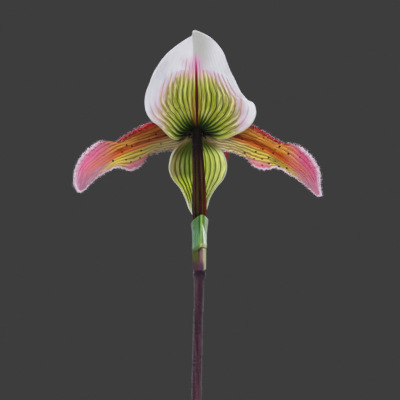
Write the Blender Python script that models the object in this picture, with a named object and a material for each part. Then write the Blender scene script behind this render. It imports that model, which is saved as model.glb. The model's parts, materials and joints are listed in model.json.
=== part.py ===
"""A potted slipper orchid, Paphiopedilum barbatum, in flower.

The plant stands in a plain clay pot filled with bark chips. Its fan of folded leaves clasps a short
rhizome, a side shoot grows beside it, and one hairy stem carries a bract and a single flower.
Everything below is in millimetres in the plant's own frame: the origin is the middle of the pot's
flat foot, +Z is up and the flower looks towards +Y. Meshes are scaled to metres once, when made.

The flower's parts are drawn in the flower frame: P to the right and Q up as seen square on from
behind the flower, and D the way the flower looks, which nods a little below the horizon.
"""

import math

import bmesh
import bpy
import numpy as np
from mathutils import Matrix

MM = 0.001
GAP = 0.3  # clearance between two pieces that rest on or against each other
RANDOM_SEED = 11

# Pot
POT_HEIGHT = 100.0
POT_FOOT_RADIUS = 38.0
POT_NECK_RADIUS = 50.5
POT_RIM_RADIUS = 55.0
POT_RIM_HEIGHT = 22.0
POT_WALL = 5.0
POT_FLOOR = 6.0
POT_BAND_DRAFT = 1.0  # how much narrower the rim band is at its lower edge
POT_EDGE_ROUND = 1.5
POT_FOOT_ROUND = 1.2
POT_FLOOR_ROUND = 3.0
POT_SIDES = 32
CENTRE_RADIUS = 2.0  # of the small flat disc that closes a turned solid on its axis
DRAIN_HOLES = 4
DRAIN_SIDES = 12
DRAIN_RADIUS = 5.0
DRAIN_CIRCLE = 21.0

# Bark mix
MIX_TOP = 88.0
MIX_EDGE_DROP = 1.0  # how far the mix lies lower along the pot's wall
MIX_CROWN = (35.0, 0.2)  # where it stands highest: radius, and height over MIX_TOP
MIX_MIDDLE_DROP = 0.6
CHIP_RINGS = ((20.5, 10), (28.0, 14), (35.5, 18), (42.5, 22))  # ring radius, chips in it
CHIP_LENGTH = (7.5, 12.0)
CHIP_THICKNESS = (2.6, 4.2)
CHIP_SIDES = 5
CHIP_REACH = (0.8, 1.15)
CHIP_NARROW = (0.6, 0.8)
CHIP_TAPER = 0.86
CHIP_TILT = 0.3
CHIP_JITTER = 1.3
CHIP_RISE = (-0.2, 1.2)
CHIP_SKEW = 0.9  # how far a chip may lie turned from the ring's own direction
SIDE_SHOOT_KEEP_OUT = 12.5

# Rhizome: the main head and the side shoot's head, which touch
RHIZOME_DEPTH = 16.0
HEAD_RADIUS = 14.8
HEAD_CHAMFER = (2.5, 4.0)  # in and up, at the buried end
SHOOT_HEAD_RADIUS = 7.2
SHOOT_CHAMFER = (1.5, 4.0)
SHOOT_HEAD_SHORTER = 0.8
SHOOT_PLACE = (-7.3, -20.1)
SHOOT_DROP = 0.4  # how far the side shoot's head lies below the main one
SHOOT_FOOT_RISE = 0.5  # its leaves lean, so the low side of each foot needs more room than the gap

# Leaves of the main fan, youngest first. They alternate sides, and each clasps the one before.
FAN_TURN = math.radians(14)
SHEATH_FIRST_RADIUS = 4.7
SHEATH_STEP = 1.95
SHEATH_FLATNESS = 0.82
SHEATH_MOST_ARM = 14.0
SHEATH_MOST_WRAP = 1.6
SHEATH_ANGLES = (88.0, 84.0)  # above the horizon, at the leaf's foot and at the top of its sheath
LEAF_THICKNESS = 1.0
LEAF_FOOT_RISE = 1.2 * GAP
# Where along a leaf its angles are given: foot, top of the sheath, leaving the fan, halfway, tip
LEAF_ANGLE_SHARES = (0.0, 0.09, 0.3, 0.62, 1.0)
# From the sheath to the tip, evenly spaced along the leaf: width, curl of the cross section, depth of
# the fold along the middle, and squash of the section
LEAF_WIDTHS = (0.62, 0.9, 1.0, 0.93, 0.66)
LEAF_TIP_HALF_WIDTH = 0.9
LEAF_CURLS = (0.8, 0.5, 0.36, 0.3, 0.26, 0.2)
LEAF_FOLDS = (0.0, 0.22, 0.2, 0.16, 0.14, 0.16, 0.2)
LEAF_SQUASH = (SHEATH_FLATNESS, 0.95, 1.0, 1.0, 1.0, 1.0, 1.0)
SWING_SHARE = 0.25  # the sideways swing grows over this first share of the leaf
# length, half width, angle above the horizon where it leaves the fan and at its tip, sideways swing
MAIN_LEAVES = (
    (98.0, 13.0, 80.0, 54.0, 5.0),
    (128.0, 17.0, 62.0, 8.0, -7.0),
    (146.0, 18.5, 54.0, -14.0, -6.0),
    (152.0, 19.5, 47.0, -24.0, 9.0),
    (142.0, 19.0, 41.0, -30.0, 10.0),
    (120.0, 17.5, 34.0, -30.0, -11.0),
)
SHOOT_LEAN = math.radians(24)
SHOOT_TURN = math.radians(-8)
SHOOT_FIRST_RADIUS = 2.2
SHOOT_SHEATH_STEP = 1.95
SHOOT_LEAVES = (
    (44.0, 7.0, 78.0, 55.0, 0.0),
    (60.0, 9.0, 66.0, 22.0, 6.0),
    (66.0, 10.5, 54.0, -2.0, -8.0),
)
LEAF_ROWS = 14
LEAF_COLUMNS = 7

# Flower stem, in the plant's frame
STEM_BASE = MIX_TOP + 1.3 * GAP
STEM_TOP = 326.6
STEM_PATH = ((0.0, 0.0, STEM_BASE), (-1.5, 1.0, 170.0), (-0.6, 0.5, 262.0), (0.85, 0.0, STEM_TOP))
STEM_RADII = (2.3, 1.75, 1.6, 1.55)
STEM_NODE_RADIUS = 2.15
STEM_NODE_HEIGHT = 3.2
STEM_RINGS = 16
STEM_SIDES = 10

# Flower frame
FLOWER_NOD = math.radians(12)
FLOWER_CENTRE = (0.0, 10.5, 375.0)
BLADE_THICKNESS = 0.75

# Ovary: places from the flower's centre as (x, y, z), with the radius there
NECK_RADIUS = 1.8
NECK_END = 1.7
OVARY_PATH = (
    ((0.1, -7.3, -0.9), 1.8),
    ((0.3, -9.7, -5.5), 1.85),
    ((0.6, -10.5, -13.0), 2.1),
    ((0.8, -10.5, -20.0), 2.35),
    ((0.85, -10.5, -26.5), 2.5),
    ((0.85, -10.5, -30.5), 1.85),
    ((0.85, -10.5, -34.0), 1.4),
    ((0.85, -10.5, -48.0), 1.35),
)
OVARY_RINGS = 22
OVARY_SIDES = 12
OVARY_RIBS = 6
OVARY_RIB_DEPTH = 0.09
OVARY_RIB_SHARES = (0.12, 0.3, 0.65, 0.8)  # where the ribs start, are full, are still full, and end

# Bract: folded round the flower's stalk, open towards the right and front
BRACT_FOOT = -48.05
BRACT_TIP = -27.2
BRACT_THICKNESS = 0.6
BRACT_RADII = (2.05, 2.1, 2.15, 2.2, 2.35, 2.8, 3.35)
BRACT_BACK = math.radians(-105)
BRACT_WRAP = math.radians(158)
BRACT_WRAP_SHARES = (1.0, 1.0, 1.0, 1.0, 0.88, 0.45, 0.08)
BRACT_TIP_CROWDING = 1.8  # packs the rows towards the rounded tip
BRACT_ROWS = 12
BRACT_COLUMNS = 12

# Sepals and petals: margins and midrib as (P, Q, D), from base to tip
DORSAL_LEFT = (
    (-2.7, -0.3, 0.0), (-8.4, -2.4, -0.3), (-11.2, -0.2, -0.4), (-13.6, 2.3, -0.2), (-16.4, 4.5, 0.4),
    (-18.3, 7.4, 1.2), (-18.9, 11.6, 2.2), (-16.8, 19.1, 3.4), (-12.6, 26.7, 3.6), (-7.7, 31.3, 3.0),
    (-3.6, 34.0, 2.4), (-1.7, 35.0, 1.8),
    (-1.4, 36.9, 1.4),
)
DORSAL_MID = ((0.0, 2.8, 0.0), (0.0, 8.0, -1.6), (-0.1, 16.0, -2.6), (-0.4, 26.0, -2.0), (-1.1, 37.0, 1.0))
DORSAL_RIGHT = (
    (2.7, -0.3, 0.0), (9.8, -2.3, -0.4), (14.1, -0.6, -0.8), (17.6, 1.2, -1.4), (20.2, 3.9, -2.2),
    (21.3, 7.6, -2.8), (20.5, 10.3, -2.4), (18.4, 11.5, -1.0), (16.4, 13.8, 0.6), (14.2, 17.8, 2.0),
    (11.6, 23.6, 3.0), (9.2, 29.6, 3.0), (6.2, 33.4, 2.4), (2.6, 35.8, 1.6), (-0.7, 37.1, 1.2),
)
SYNSEPAL_LEFT = (
    (-2.2, -1.2, 0.0), (-4.3, -3.2, 0.0), (-7.2, -4.8, 0.3), (-9.0, -7.2, 0.9), (-9.9, -10.2, 1.6),
    (-10.1, -13.2, 2.2), (-9.0, -16.2, 2.8), (-6.2, -19.6, 3.2), (-4.1, -23.6, 3.5), (-2.5, -27.8, 3.8),
    (0.1, -31.2, 4.0),
)
SYNSEPAL_MID = ((0.0, -2.6, 0.0), (0.1, -9.0, -0.4), (0.2, -17.0, 0.4), (0.4, -31.3, 3.8))
SYNSEPAL_RIGHT = (
    (2.2, -1.2, 0.0), (4.1, -3.2, 0.0), (7.0, -4.6, 0.3), (9.2, -6.8, 0.9), (10.5, -9.8, 1.6),
    (10.8, -13.0, 2.2), (9.8, -16.0, 2.8), (6.9, -19.6, 3.2), (4.7, -23.2, 3.5), (3.2, -27.8, 3.8),
    (0.7, -31.2, 4.0),
)
LEFT_PETAL_UPPER = (
    (-2.3, 0.9, 1.3), (-8.5, 3.0, 2.2), (-15.9, 3.9, 3.2), (-19.6, 2.4, 2.6), (-25.4, -0.8, 3.8),
    (-30.8, -3.9, 4.0), (-34.7, -2.9, 1.6), (-38.4, -4.8, 0.6), (-42.6, -9.4, 1.0), (-44.5, -15.6, 0.6),
    (-44.2, -19.2, -0.4), (-42.9, -21.3, -1.2),
)
LEFT_PETAL_MID = (
    (-2.4, 0.0, 1.3), (-12.0, -2.0, 3.0), (-21.0, -4.2, 4.4), (-31.0, -8.6, 4.0), (-38.6, -14.0, 2.0),
    (-42.4, -21.4, -1.2),
)
LEFT_PETAL_LOWER = (
    (-2.3, -0.9, 1.3), (-7.6, -6.0, 2.6), (-13.6, -7.1, 3.6), (-18.4, -9.1, 3.0), (-20.3, -12.3, 1.2),
    (-24.3, -14.0, 0.8), (-28.2, -12.8, 2.6), (-33.0, -14.6, 3.0), (-38.4, -18.8, 1.4), (-41.0, -21.2, -0.6),
    (-41.9, -21.5, -1.2),
)
RIGHT_PETAL_UPPER = (
    (2.3, 0.9, 1.3), (10.0, 3.0, 2.2), (17.6, 3.2, 3.2), (22.1, 1.2, 2.6), (27.0, -1.8, 3.8),
    (31.6, -4.3, 4.0), (36.6, -4.8, 1.4), (41.0, -8.4, 0.8), (44.1, -13.6, 1.0), (44.5, -20.0, 0.2),
    (44.9, -23.0, -1.2),
)
RIGHT_PETAL_MID = (
    (2.4, 0.0, 1.3), (13.0, -2.2, 3.0), (23.0, -5.8, 4.4), (32.4, -10.8, 4.0), (39.4, -16.4, 2.0),
    (44.2, -23.2, -1.2),
)
RIGHT_PETAL_LOWER = (
    (2.3, -0.9, 1.3), (8.0, -6.4, 2.6), (13.6, -7.6, 3.6), (18.0, -9.8, 3.0), (21.0, -13.0, 1.2),
    (24.4, -13.9, 0.8), (28.3, -13.1, 2.6), (34.4, -16.0, 3.0), (38.8, -19.4, 1.4), (42.4, -22.6, -0.2),
    (43.6, -23.3, -1.2),
)
MIDRIB_LAG = 1.25  # holds the midrib's rows back, so that the veins fan out from the base

# Pouch, in the flower frame, ring by ring from the mouth to the toe: where the front, the back and the
# sides of each ring lie as (Q, D), its half width, and how far it swings to the right
POUCH_FRONT = (
    (-7.6, 21.6), (-9.8, 23.6), (-12.8, 25.4), (-16.0, 26.0), (-19.0, 25.2), (-21.2, 23.2), (-22.2, 21.4),
)
POUCH_BACK = (
    (-1.9, 2.5), (-4.8, 3.9), (-8.4, 6.6), (-12.4, 10.0), (-16.4, 13.8), (-20.0, 17.2), (-21.8, 19.4),
)
POUCH_SIDE = (
    (-2.6, 11.6), (-6.4, 12.8), (-10.3, 15.0), (-14.2, 17.4), (-17.6, 19.4), (-20.7, 20.3), (-22.1, 20.4),
)
POUCH_HALF_WIDTH = (8.5, 9.9, 9.8, 8.8, 7.0, 4.3, 1.3)
POUCH_SWING = (1.2, 1.3, 1.2, 1.0, 0.9, 0.9, 0.9)
POUCH_TOE = (0.9, -22.3, 20.4)
EAR_PLACE = math.radians(62)  # round the mouth from its front, where the rim rises into an ear
EAR_SPREAD = 0.34
EAR_RISE = 2.6
EAR_FLARE = 1.3
FOLD_PLACE = math.radians(128)  # where the side lobes fold in beside the column
FOLD_SPREAD = 0.42
FOLD_DEPTH = 0.22
RIM_FADE = 2.6  # how fast the ears and folds fade below the rim
POUCH_WALL = 0.8
POUCH_ROWS = 10
POUCH_SIDES = 20

# Column and its shield, in the flower frame
COLUMN_RADIUS = 1.25
COLUMN_START = (0.0, 0.6, NECK_END + 1.5 * GAP)
COLUMN_END = (0.0, 0.0, 7.6)
COLUMN_SWELL = (1.0, 0.96, 1.0, 1.12, 1.2)
COLUMN_SIDES = 12
SHIELD_PLACE = (0.0, 0.1, 8.3)
SHIELD_HALF_WIDTH = 4.4
SHIELD_HALF_HEIGHT = 3.9
SHIELD_THICKNESS = 1.1
SHIELD_SECTION = ((-0.5, 0.82), (-0.1, 1.0), (0.3, 0.93), (0.55, 0.55))  # depth and width of each ring
SHIELD_SIDES = 24
SHIELD_LEAN = math.radians(-22)
STIGMA_PLACE = (0.0, -2.0, 5.6)
STIGMA_RADII = (1.7, 1.0, 1.7)
ANTHER_PLACE = (1.9, -0.6, 5.2)
ANTHER_RADII = (1.0, 1.0, 1.0)
BALL_CAP = 0.08  # half angle of the small flat cap at each end of a ball


def clear_scene():
    for obj in list(bpy.data.objects):
        bpy.data.objects.remove(obj, do_unlink=True)


def make_material(name, colour, roughness, metallic=0.0):
    """A plain finish: one colour and one roughness."""
    material = bpy.data.materials.new(name)
    material.use_nodes = True
    shader = material.node_tree.nodes["Principled BSDF"]
    shader.inputs["Base Color"].default_value = (*colour, 1.0)
    shader.inputs["Roughness"].default_value = roughness
    shader.inputs["Metallic"].default_value = metallic
    return material


def add_object(name, points, faces, material=None, smooth=True):
    """A mesh object from points in millimetres. Its faces are turned to point outwards."""
    mesh = bpy.data.meshes.new(name)
    mesh.from_pydata([tuple(p) for p in np.asarray(points, float) * MM], [], faces)
    shape = bmesh.new()
    shape.from_mesh(mesh)
    bmesh.ops.recalc_face_normals(shape, faces=shape.faces)
    shape.to_mesh(mesh)
    shape.free()
    if smooth:
        mesh.shade_smooth()
        mesh.set_sharp_from_angle(angle=math.radians(40))
    obj = bpy.data.objects.new(name, mesh)
    bpy.context.scene.collection.objects.link(obj)
    if material is not None:
        mesh.materials.append(material)
    return obj


def apply_modifiers(obj):
    """Replaces the object's mesh with its evaluated one."""
    bpy.context.view_layer.update()
    graph = bpy.context.evaluated_depsgraph_get()
    mesh = bpy.data.meshes.new_from_object(obj.evaluated_get(graph))
    obj.modifiers.clear()
    obj.data = mesh


def boolean_with(obj, others, operation):
    """Joins the other objects to obj, or cuts them from it, and then removes them."""
    group = bpy.data.collections.new(obj.name + " pieces")
    for other in others:
        for owner in list(other.users_collection):
            owner.objects.unlink(other)
        group.objects.link(other)
    bpy.context.scene.collection.children.link(group)
    modifier = obj.modifiers.new(operation.title(), "BOOLEAN")
    modifier.operation = operation
    modifier.operand_type = "COLLECTION"
    modifier.collection = group
    modifier.solver = "EXACT"
    apply_modifiers(obj)
    for other in others:
        bpy.data.objects.remove(other, do_unlink=True)
    bpy.data.collections.remove(group)


def curve_through(points, shares):
    """Points at the given shares of a smooth curve that passes through every given point."""
    points = np.asarray(points, float)
    steps = np.linalg.norm(np.diff(points, axis=0), axis=1)
    knots = np.concatenate([[0.0], np.cumsum(steps)]) / steps.sum()
    slopes = np.gradient(points, knots, axis=0)
    shares = np.asarray(shares, float)
    span = np.clip(np.searchsorted(knots, shares, side="right") - 1, 0, len(knots) - 2)
    width = (knots[span + 1] - knots[span])[:, None]
    x = (shares - knots[span])[:, None] / width
    start, end = points[span], points[span + 1]
    pull_start, pull_end = slopes[span] * width, slopes[span + 1] * width
    return (
        (2 * x**3 - 3 * x**2 + 1) * start
        + (x**3 - 2 * x**2 + x) * pull_start
        + (3 * x**2 - 2 * x**3) * end
        + (x**3 - x**2) * pull_end
    )


def value_along(values, shares):
    """A single number that runs smoothly through evenly spaced values."""
    knots = np.linspace(0.0, 1.0, len(values))
    points = np.stack([knots, np.asarray(values, float)], axis=1)
    slopes = np.gradient(points[:, 1], knots)
    shares = np.clip(np.asarray(shares, float), 0.0, 1.0)
    span = np.clip((shares * (len(values) - 1)).astype(int), 0, len(values) - 2)
    width = knots[1]
    x = (shares - knots[span]) / width
    start, end = points[span, 1], points[span + 1, 1]
    return (
        (2 * x**3 - 3 * x**2 + 1) * start
        + (x**3 - 2 * x**2 + x) * slopes[span] * width
        + (3 * x**2 - 2 * x**3) * end
        + (x**3 - x**2) * slopes[span + 1] * width
    )


def flower_to_plant(points):
    """Points of the flower frame (P, Q, D) in the plant's frame."""
    points = np.asarray(points, float)
    right = np.array([1.0, 0.0, 0.0])
    up = np.array([0.0, math.sin(FLOWER_NOD), math.cos(FLOWER_NOD)])
    forward = np.array([0.0, math.cos(FLOWER_NOD), -math.sin(FLOWER_NOD)])
    return np.array(FLOWER_CENTRE) + points @ np.stack([right, up, forward])


def grid_faces(rows, columns, wrap=False):
    """Triangles of a grid of points, row by row. With wrap the last column joins the first."""
    faces = []
    for i in range(rows - 1):
        for j in range(columns if wrap else columns - 1):
            a = i * columns + j
            b = i * columns + (j + 1) % columns
            faces.append((a, b, b + columns))
            faces.append((a, b + columns, a + columns))
    return faces


def add_blade(name, grid, thickness, material):
    """A thin closed blade round a grid of points, split alike on both faces."""
    rows, columns = grid.shape[:2]
    obj = add_object(name, grid.reshape(-1, 3), grid_faces(rows, columns), material)
    wall = obj.modifiers.new("Thickness", "SOLIDIFY")
    wall.thickness = thickness * MM
    wall.offset = 0.0
    return obj


def rail_grid(left, middle, right, rows, columns):
    """A grid between two margins and a midrib, each cross line a parabola through the three."""
    along = np.linspace(0.0, 1.0, rows)
    across = np.linspace(-1.0, 1.0, columns)[None, :, None]
    edge_a = curve_through(left, along)[:, None]
    edge_b = curve_through(right, along)[:, None]
    rib = curve_through(middle, along**MIDRIB_LAG)[:, None]
    return rib + across * (edge_b - edge_a) / 2 + across**2 * ((edge_a + edge_b) / 2 - rib)


def frames_along(path):
    """For each point of a path, two unit vectors square to it, carried along without twisting."""
    path = np.asarray(path, float)
    tangents = np.gradient(path, axis=0)
    tangents /= np.linalg.norm(tangents, axis=1)[:, None]
    side = np.cross(tangents[0], (0.0, 1.0, 0.3))
    sides, ups = [], []
    for tangent in tangents:
        side = side - tangent * (side @ tangent)
        side = side / np.linalg.norm(side)
        sides.append(side)
        ups.append(np.cross(tangent, side))
    return np.array(sides), np.array(ups)


def ring_solid_faces(rings, sides):
    """Faces of a closed solid made of stacked rings with a flat cap at each end."""
    faces = grid_faces(rings, sides, wrap=True)
    faces.append(tuple(range(sides))[::-1])
    faces.append(tuple((rings - 1) * sides + k for k in range(sides)))
    return faces


def tube_points(path, radii, sides, ribs=0, rib_depth=0.0):
    """Rings of points round a path. Ribs swell each ring into that many lobes."""
    across, up = frames_along(path)
    turn = np.linspace(0.0, 2 * math.pi, sides, endpoint=False)
    depth = np.broadcast_to(rib_depth, len(path))[:, None]
    reach = np.asarray(radii)[:, None] * (1.0 + depth * np.cos(ribs * turn))
    offset = (
        across[:, None] * (reach * np.cos(turn))[..., None]
        + up[:, None] * (reach * np.sin(turn))[..., None]
    )
    return np.asarray(path)[:, None] + offset


def add_tube(name, path, radii, sides, material, **ribbing):
    points = tube_points(path, radii, sides, **ribbing)
    return add_object(name, points.reshape(-1, 3), ring_solid_faces(len(path), sides), material)


def add_turned(name, profile, sides, material=None, centre=(0.0, 0.0)):
    """A solid turned round a vertical axis, from a profile of (radius, height) closed at both ends."""
    turn = np.linspace(0.0, 2 * math.pi, sides, endpoint=False)
    rows = []
    for radius, height in profile:
        ring = np.stack([radius * np.cos(turn), radius * np.sin(turn), np.full(sides, height)], axis=1)
        rows.append(ring + np.array([centre[0], centre[1], 0.0]))
    return add_object(name, np.concatenate(rows), ring_solid_faces(len(profile), sides), material)


def rounded_corner(inner, corner, outer, radius, steps=2):
    """Points of an arc that rounds the corner between two straight edges of a profile."""
    corner = np.array(corner, float)
    to_inner = np.array(inner, float) - corner
    to_outer = np.array(outer, float) - corner
    start = corner + to_inner / np.linalg.norm(to_inner) * radius
    end = corner + to_outer / np.linalg.norm(to_outer) * radius
    shares = np.linspace(0.0, 1.0, steps + 1)[:, None]
    arc = (1 - shares) ** 2 * start + 2 * shares * (1 - shares) * corner + shares**2 * end
    return [tuple(point) for point in arc]


def pot_inner_radius(height):
    """Radius of the pot's inner wall at a height."""
    slope = (POT_NECK_RADIUS - POT_FOOT_RADIUS) / (POT_HEIGHT - POT_RIM_HEIGHT)
    return POT_FOOT_RADIUS - POT_WALL + slope * height


def make_pot(material):
    """A tapered pot with a band round its rim and drain holes round the middle of its floor."""
    band = POT_HEIGHT - POT_RIM_HEIGHT
    outline = [
        (POT_FOOT_RADIUS, 0.0),
        (POT_NECK_RADIUS, band),
        (POT_RIM_RADIUS - POT_BAND_DRAFT, band),
        (POT_RIM_RADIUS, POT_HEIGHT),
        (pot_inner_radius(POT_HEIGHT), POT_HEIGHT),
        (pot_inner_radius(POT_FLOOR), POT_FLOOR),
    ]
    rounds = (POT_FOOT_ROUND, 0.0, POT_EDGE_ROUND, POT_EDGE_ROUND, POT_EDGE_ROUND, POT_FLOOR_ROUND)
    profile = [(CENTRE_RADIUS, 0.0)]
    for k, corner in enumerate(outline):
        before = outline[k - 1] if k else (0.0, 0.0)
        after = outline[k + 1] if k + 1 < len(outline) else (0.0, POT_FLOOR)
        profile += rounded_corner(before, corner, after, rounds[k]) if rounds[k] else [corner]
    profile.append((CENTRE_RADIUS, POT_FLOOR))
    pot = add_turned("pot", profile, POT_SIDES, material)
    holes = []
    for k in range(DRAIN_HOLES):
        turn = 2 * math.pi * (k + 0.5) / DRAIN_HOLES
        centre = (DRAIN_CIRCLE * math.cos(turn), DRAIN_CIRCLE * math.sin(turn))
        hole = [(DRAIN_RADIUS, -POT_FLOOR), (DRAIN_RADIUS, 2 * POT_FLOOR)]
        holes.append(add_turned(f"drain {k}", hole, DRAIN_SIDES, centre=centre))
    boolean_with(pot, holes, "DIFFERENCE")
    return pot


def chip(name, place, turn, length, thickness, draw):
    """One bark chip: a flat, uneven slab that lies tilted in the mix."""
    angles = (np.arange(CHIP_SIDES) + draw.uniform(-0.25, 0.25, CHIP_SIDES)) * 2 * math.pi / CHIP_SIDES
    reach = length / 2 * draw.uniform(*CHIP_REACH, CHIP_SIDES)
    narrow = draw.uniform(*CHIP_NARROW)
    outline = np.stack([reach * np.cos(angles), narrow * reach * np.sin(angles)], axis=1)
    low = np.column_stack([outline, np.full(CHIP_SIDES, -thickness)])
    high = np.column_stack([outline * CHIP_TAPER, np.full(CHIP_SIDES, thickness / 2)])
    high[:, 2] += draw.uniform(-0.5, 0.5, CHIP_SIDES)
    tilt_x = Matrix.Rotation(draw.uniform(-CHIP_TILT, CHIP_TILT), 3, "X")
    tilt_y = Matrix.Rotation(draw.uniform(-CHIP_TILT, CHIP_TILT), 3, "Y")
    spin = np.array(Matrix.Rotation(turn, 3, "Z") @ tilt_x @ tilt_y)
    points = np.concatenate([low, high]) @ spin.T + np.array(place)
    reach = np.linalg.norm(points[:, :2], axis=1)
    most = pot_inner_radius(MIX_TOP - CHIP_THICKNESS[1]) - 3 * GAP
    points[:, :2] *= np.minimum(1.0, most / reach)[:, None]
    return add_object(name, points, ring_solid_faces(2, CHIP_SIDES), smooth=False)


def make_mix(material):
    """The bark mix: a plug that fills the pot, with chips standing out of it and a plain hole."""
    draw = np.random.default_rng(RANDOM_SEED)
    floor = POT_FLOOR + GAP
    shoulder = floor + POT_FLOOR_ROUND + GAP
    crown_floor = MIX_TOP - RHIZOME_DEPTH - GAP
    profile = [
        (CENTRE_RADIUS, floor),
        (pot_inner_radius(floor) - POT_FLOOR_ROUND - 3 * GAP, floor),
        (pot_inner_radius(shoulder) - GAP, shoulder),
        (pot_inner_radius(MIX_TOP - MIX_EDGE_DROP) - GAP, MIX_TOP - MIX_EDGE_DROP),
        (MIX_CROWN[0], MIX_TOP + MIX_CROWN[1]),
        (HEAD_RADIUS + GAP, MIX_TOP - MIX_MIDDLE_DROP),
        (HEAD_RADIUS + GAP, crown_floor),
        (CENTRE_RADIUS, crown_floor),
    ]
    mix = add_turned("potting_mix", profile, POT_SIDES, material)
    chips = []
    for radius, count in CHIP_RINGS:
        start = draw.uniform(0, 2 * math.pi)
        for k in range(count):
            turn = start + 2 * math.pi * k / count + draw.uniform(-0.1, 0.1)
            reach = radius + draw.uniform(-CHIP_JITTER, CHIP_JITTER)
            place = (reach * math.cos(turn), reach * math.sin(turn), MIX_TOP + draw.uniform(*CHIP_RISE))
            length, thickness = draw.uniform(*CHIP_LENGTH), draw.uniform(*CHIP_THICKNESS)
            lie = turn + math.pi / 2 + draw.uniform(-CHIP_SKEW, CHIP_SKEW)
            near_shoot = math.dist(place[:2], SHOOT_PLACE) < SIDE_SHOOT_KEEP_OUT
            piece = chip(f"chip {len(chips)}", place, lie, length, thickness, draw)
            if near_shoot:
                bpy.data.objects.remove(piece, do_unlink=True)
            else:
                chips.append(piece)
    boolean_with(mix, chips, "UNION")
    shoot_hole = [(SHOOT_HEAD_RADIUS + GAP, crown_floor), (SHOOT_HEAD_RADIUS + GAP, POT_HEIGHT)]
    hole = add_turned("shoot hole", shoot_hole, POT_SIDES, centre=SHOOT_PLACE)
    boolean_with(mix, [hole], "DIFFERENCE")
    return mix


def make_rhizome(material):
    """The short rhizome in the mix, with a head for the fan and a smaller one for the side shoot."""
    bottom = MIX_TOP - RHIZOME_DEPTH
    shoot_bottom = bottom + SHOOT_HEAD_SHORTER
    head = [
        (HEAD_RADIUS - HEAD_CHAMFER[0], bottom),
        (HEAD_RADIUS, bottom + HEAD_CHAMFER[1]),
        (HEAD_RADIUS, MIX_TOP),
    ]
    shoot_head = [
        (SHOOT_HEAD_RADIUS - SHOOT_CHAMFER[0], shoot_bottom),
        (SHOOT_HEAD_RADIUS, shoot_bottom + SHOOT_CHAMFER[1]),
        (SHOOT_HEAD_RADIUS, MIX_TOP - SHOOT_DROP),
    ]
    rhizome = add_turned("rhizome", head, POT_SIDES, material)
    shoot = add_turned("shoot head", shoot_head, POT_SIDES, centre=SHOOT_PLACE)
    boolean_with(rhizome, [shoot], "UNION")
    return rhizome


def leaf_grid(shape, sheath_radius, rows, columns):
    """A folded strap leaf whose foot clasps a circle round the axis. It points along +X."""
    length, half_width, rise, droop, _ = shape
    fine = np.linspace(0.0, 1.0, 241)
    angle = np.interp(fine, LEAF_ANGLE_SHARES, (*SHEATH_ANGLES, rise, (rise + droop) / 2, droop))
    blur = np.hanning(31)
    padded = np.pad(angle, len(blur) // 2, mode="edge")
    angle = np.radians(np.convolve(padded, blur / blur.sum(), mode="valid"))
    step = length / (len(fine) - 1)
    out = sheath_radius + np.concatenate([[0.0], np.cumsum(np.cos(angle[:-1]) * step)])
    height = np.concatenate([[0.0], np.cumsum(np.sin(angle[:-1]) * step)])
    along = np.linspace(0.0, 1.0, rows)
    spine_out = np.interp(along, fine, out)
    spine_up = np.interp(along, fine, height)
    lean = np.interp(along, fine, angle)
    arm = min(SHEATH_MOST_ARM, sheath_radius * SHEATH_MOST_WRAP)
    blade_widths = [half_width * share for share in LEAF_WIDTHS]
    width = value_along((arm, *blade_widths, LEAF_TIP_HALF_WIDTH), along)
    wrap = value_along((arm / sheath_radius, *LEAF_CURLS), along)
    flat = value_along(LEAF_SQUASH, along)
    keel = value_along(LEAF_FOLDS, along)
    across = np.linspace(-1.0, 1.0, columns)[None, :]
    bend = (width / wrap)[:, None]
    sideways = bend * np.sin(wrap[:, None] * across) * flat[:, None]
    inward = bend * (1 - np.cos(wrap[:, None] * across))
    inward = inward + (keel * width)[:, None] * (np.sqrt(across**2 + 0.01) - 0.1)
    x = spine_out[:, None] - np.sin(lean)[:, None] * inward
    z = spine_up[:, None] + np.cos(lean)[:, None] * inward
    return np.stack([x, sideways, z], axis=2)


def turned_about_z(points, angle):
    return points @ np.array(Matrix.Rotation(angle, 3, "Z")).T


def make_fan(names, leaves, first_radius, step, turn, place, lean, material):
    """Leaves in two opposite ranks, youngest first, each round the one before."""
    share = np.clip(np.linspace(0.0, 1.0, LEAF_ROWS) / SWING_SHARE, 0.0, 1.0)[:, None, None]
    for k, (name, shape) in enumerate(zip(names, leaves)):
        grid = leaf_grid(shape, first_radius + k * step, LEAF_ROWS, LEAF_COLUMNS)
        swung = turned_about_z(grid, math.radians(shape[-1]))
        grid = grid * (1 - share) + swung * share
        grid = turned_about_z(grid, math.pi * (k % 2) + turn)
        grid[..., 1] -= math.tan(lean) * grid[..., 2]
        add_blade(name, grid + np.array(place), LEAF_THICKNESS, material)


def make_stem(material):
    """The flower stem, with a small swelling at the node where the bract sits."""
    shares = np.linspace(0.0, 1.0, STEM_RINGS)
    path = curve_through(STEM_PATH, shares)
    radii = value_along(STEM_RADII, shares)
    top = np.array(STEM_PATH[-1])
    near_top = top - np.outer((1.0, 0.5, 0.0), (0.0, 0.0, STEM_NODE_HEIGHT))
    path = np.concatenate([path[:-1], near_top])
    radii = np.concatenate([radii[:-1], [STEM_RADII[-1], STEM_NODE_RADIUS, STEM_NODE_RADIUS * 0.85]])
    return add_tube("flower_stem", path, radii, STEM_SIDES, material)


def ovary_centre_line():
    """The ovary's points and radii, from its neck inside the flower to its foot on the stem."""
    neck = flower_to_plant(((0.0, 0.0, NECK_END), (0.0, 0.0, 0.0), (0.0, 0.3, -3.2)))
    body = np.array([place for place, _ in OVARY_PATH]) + np.array(FLOWER_CENTRE)
    points = np.concatenate([neck, body])
    radii = [NECK_RADIUS, NECK_RADIUS, NECK_RADIUS] + [radius for _, radius in OVARY_PATH]
    return points, np.array(radii)


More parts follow.
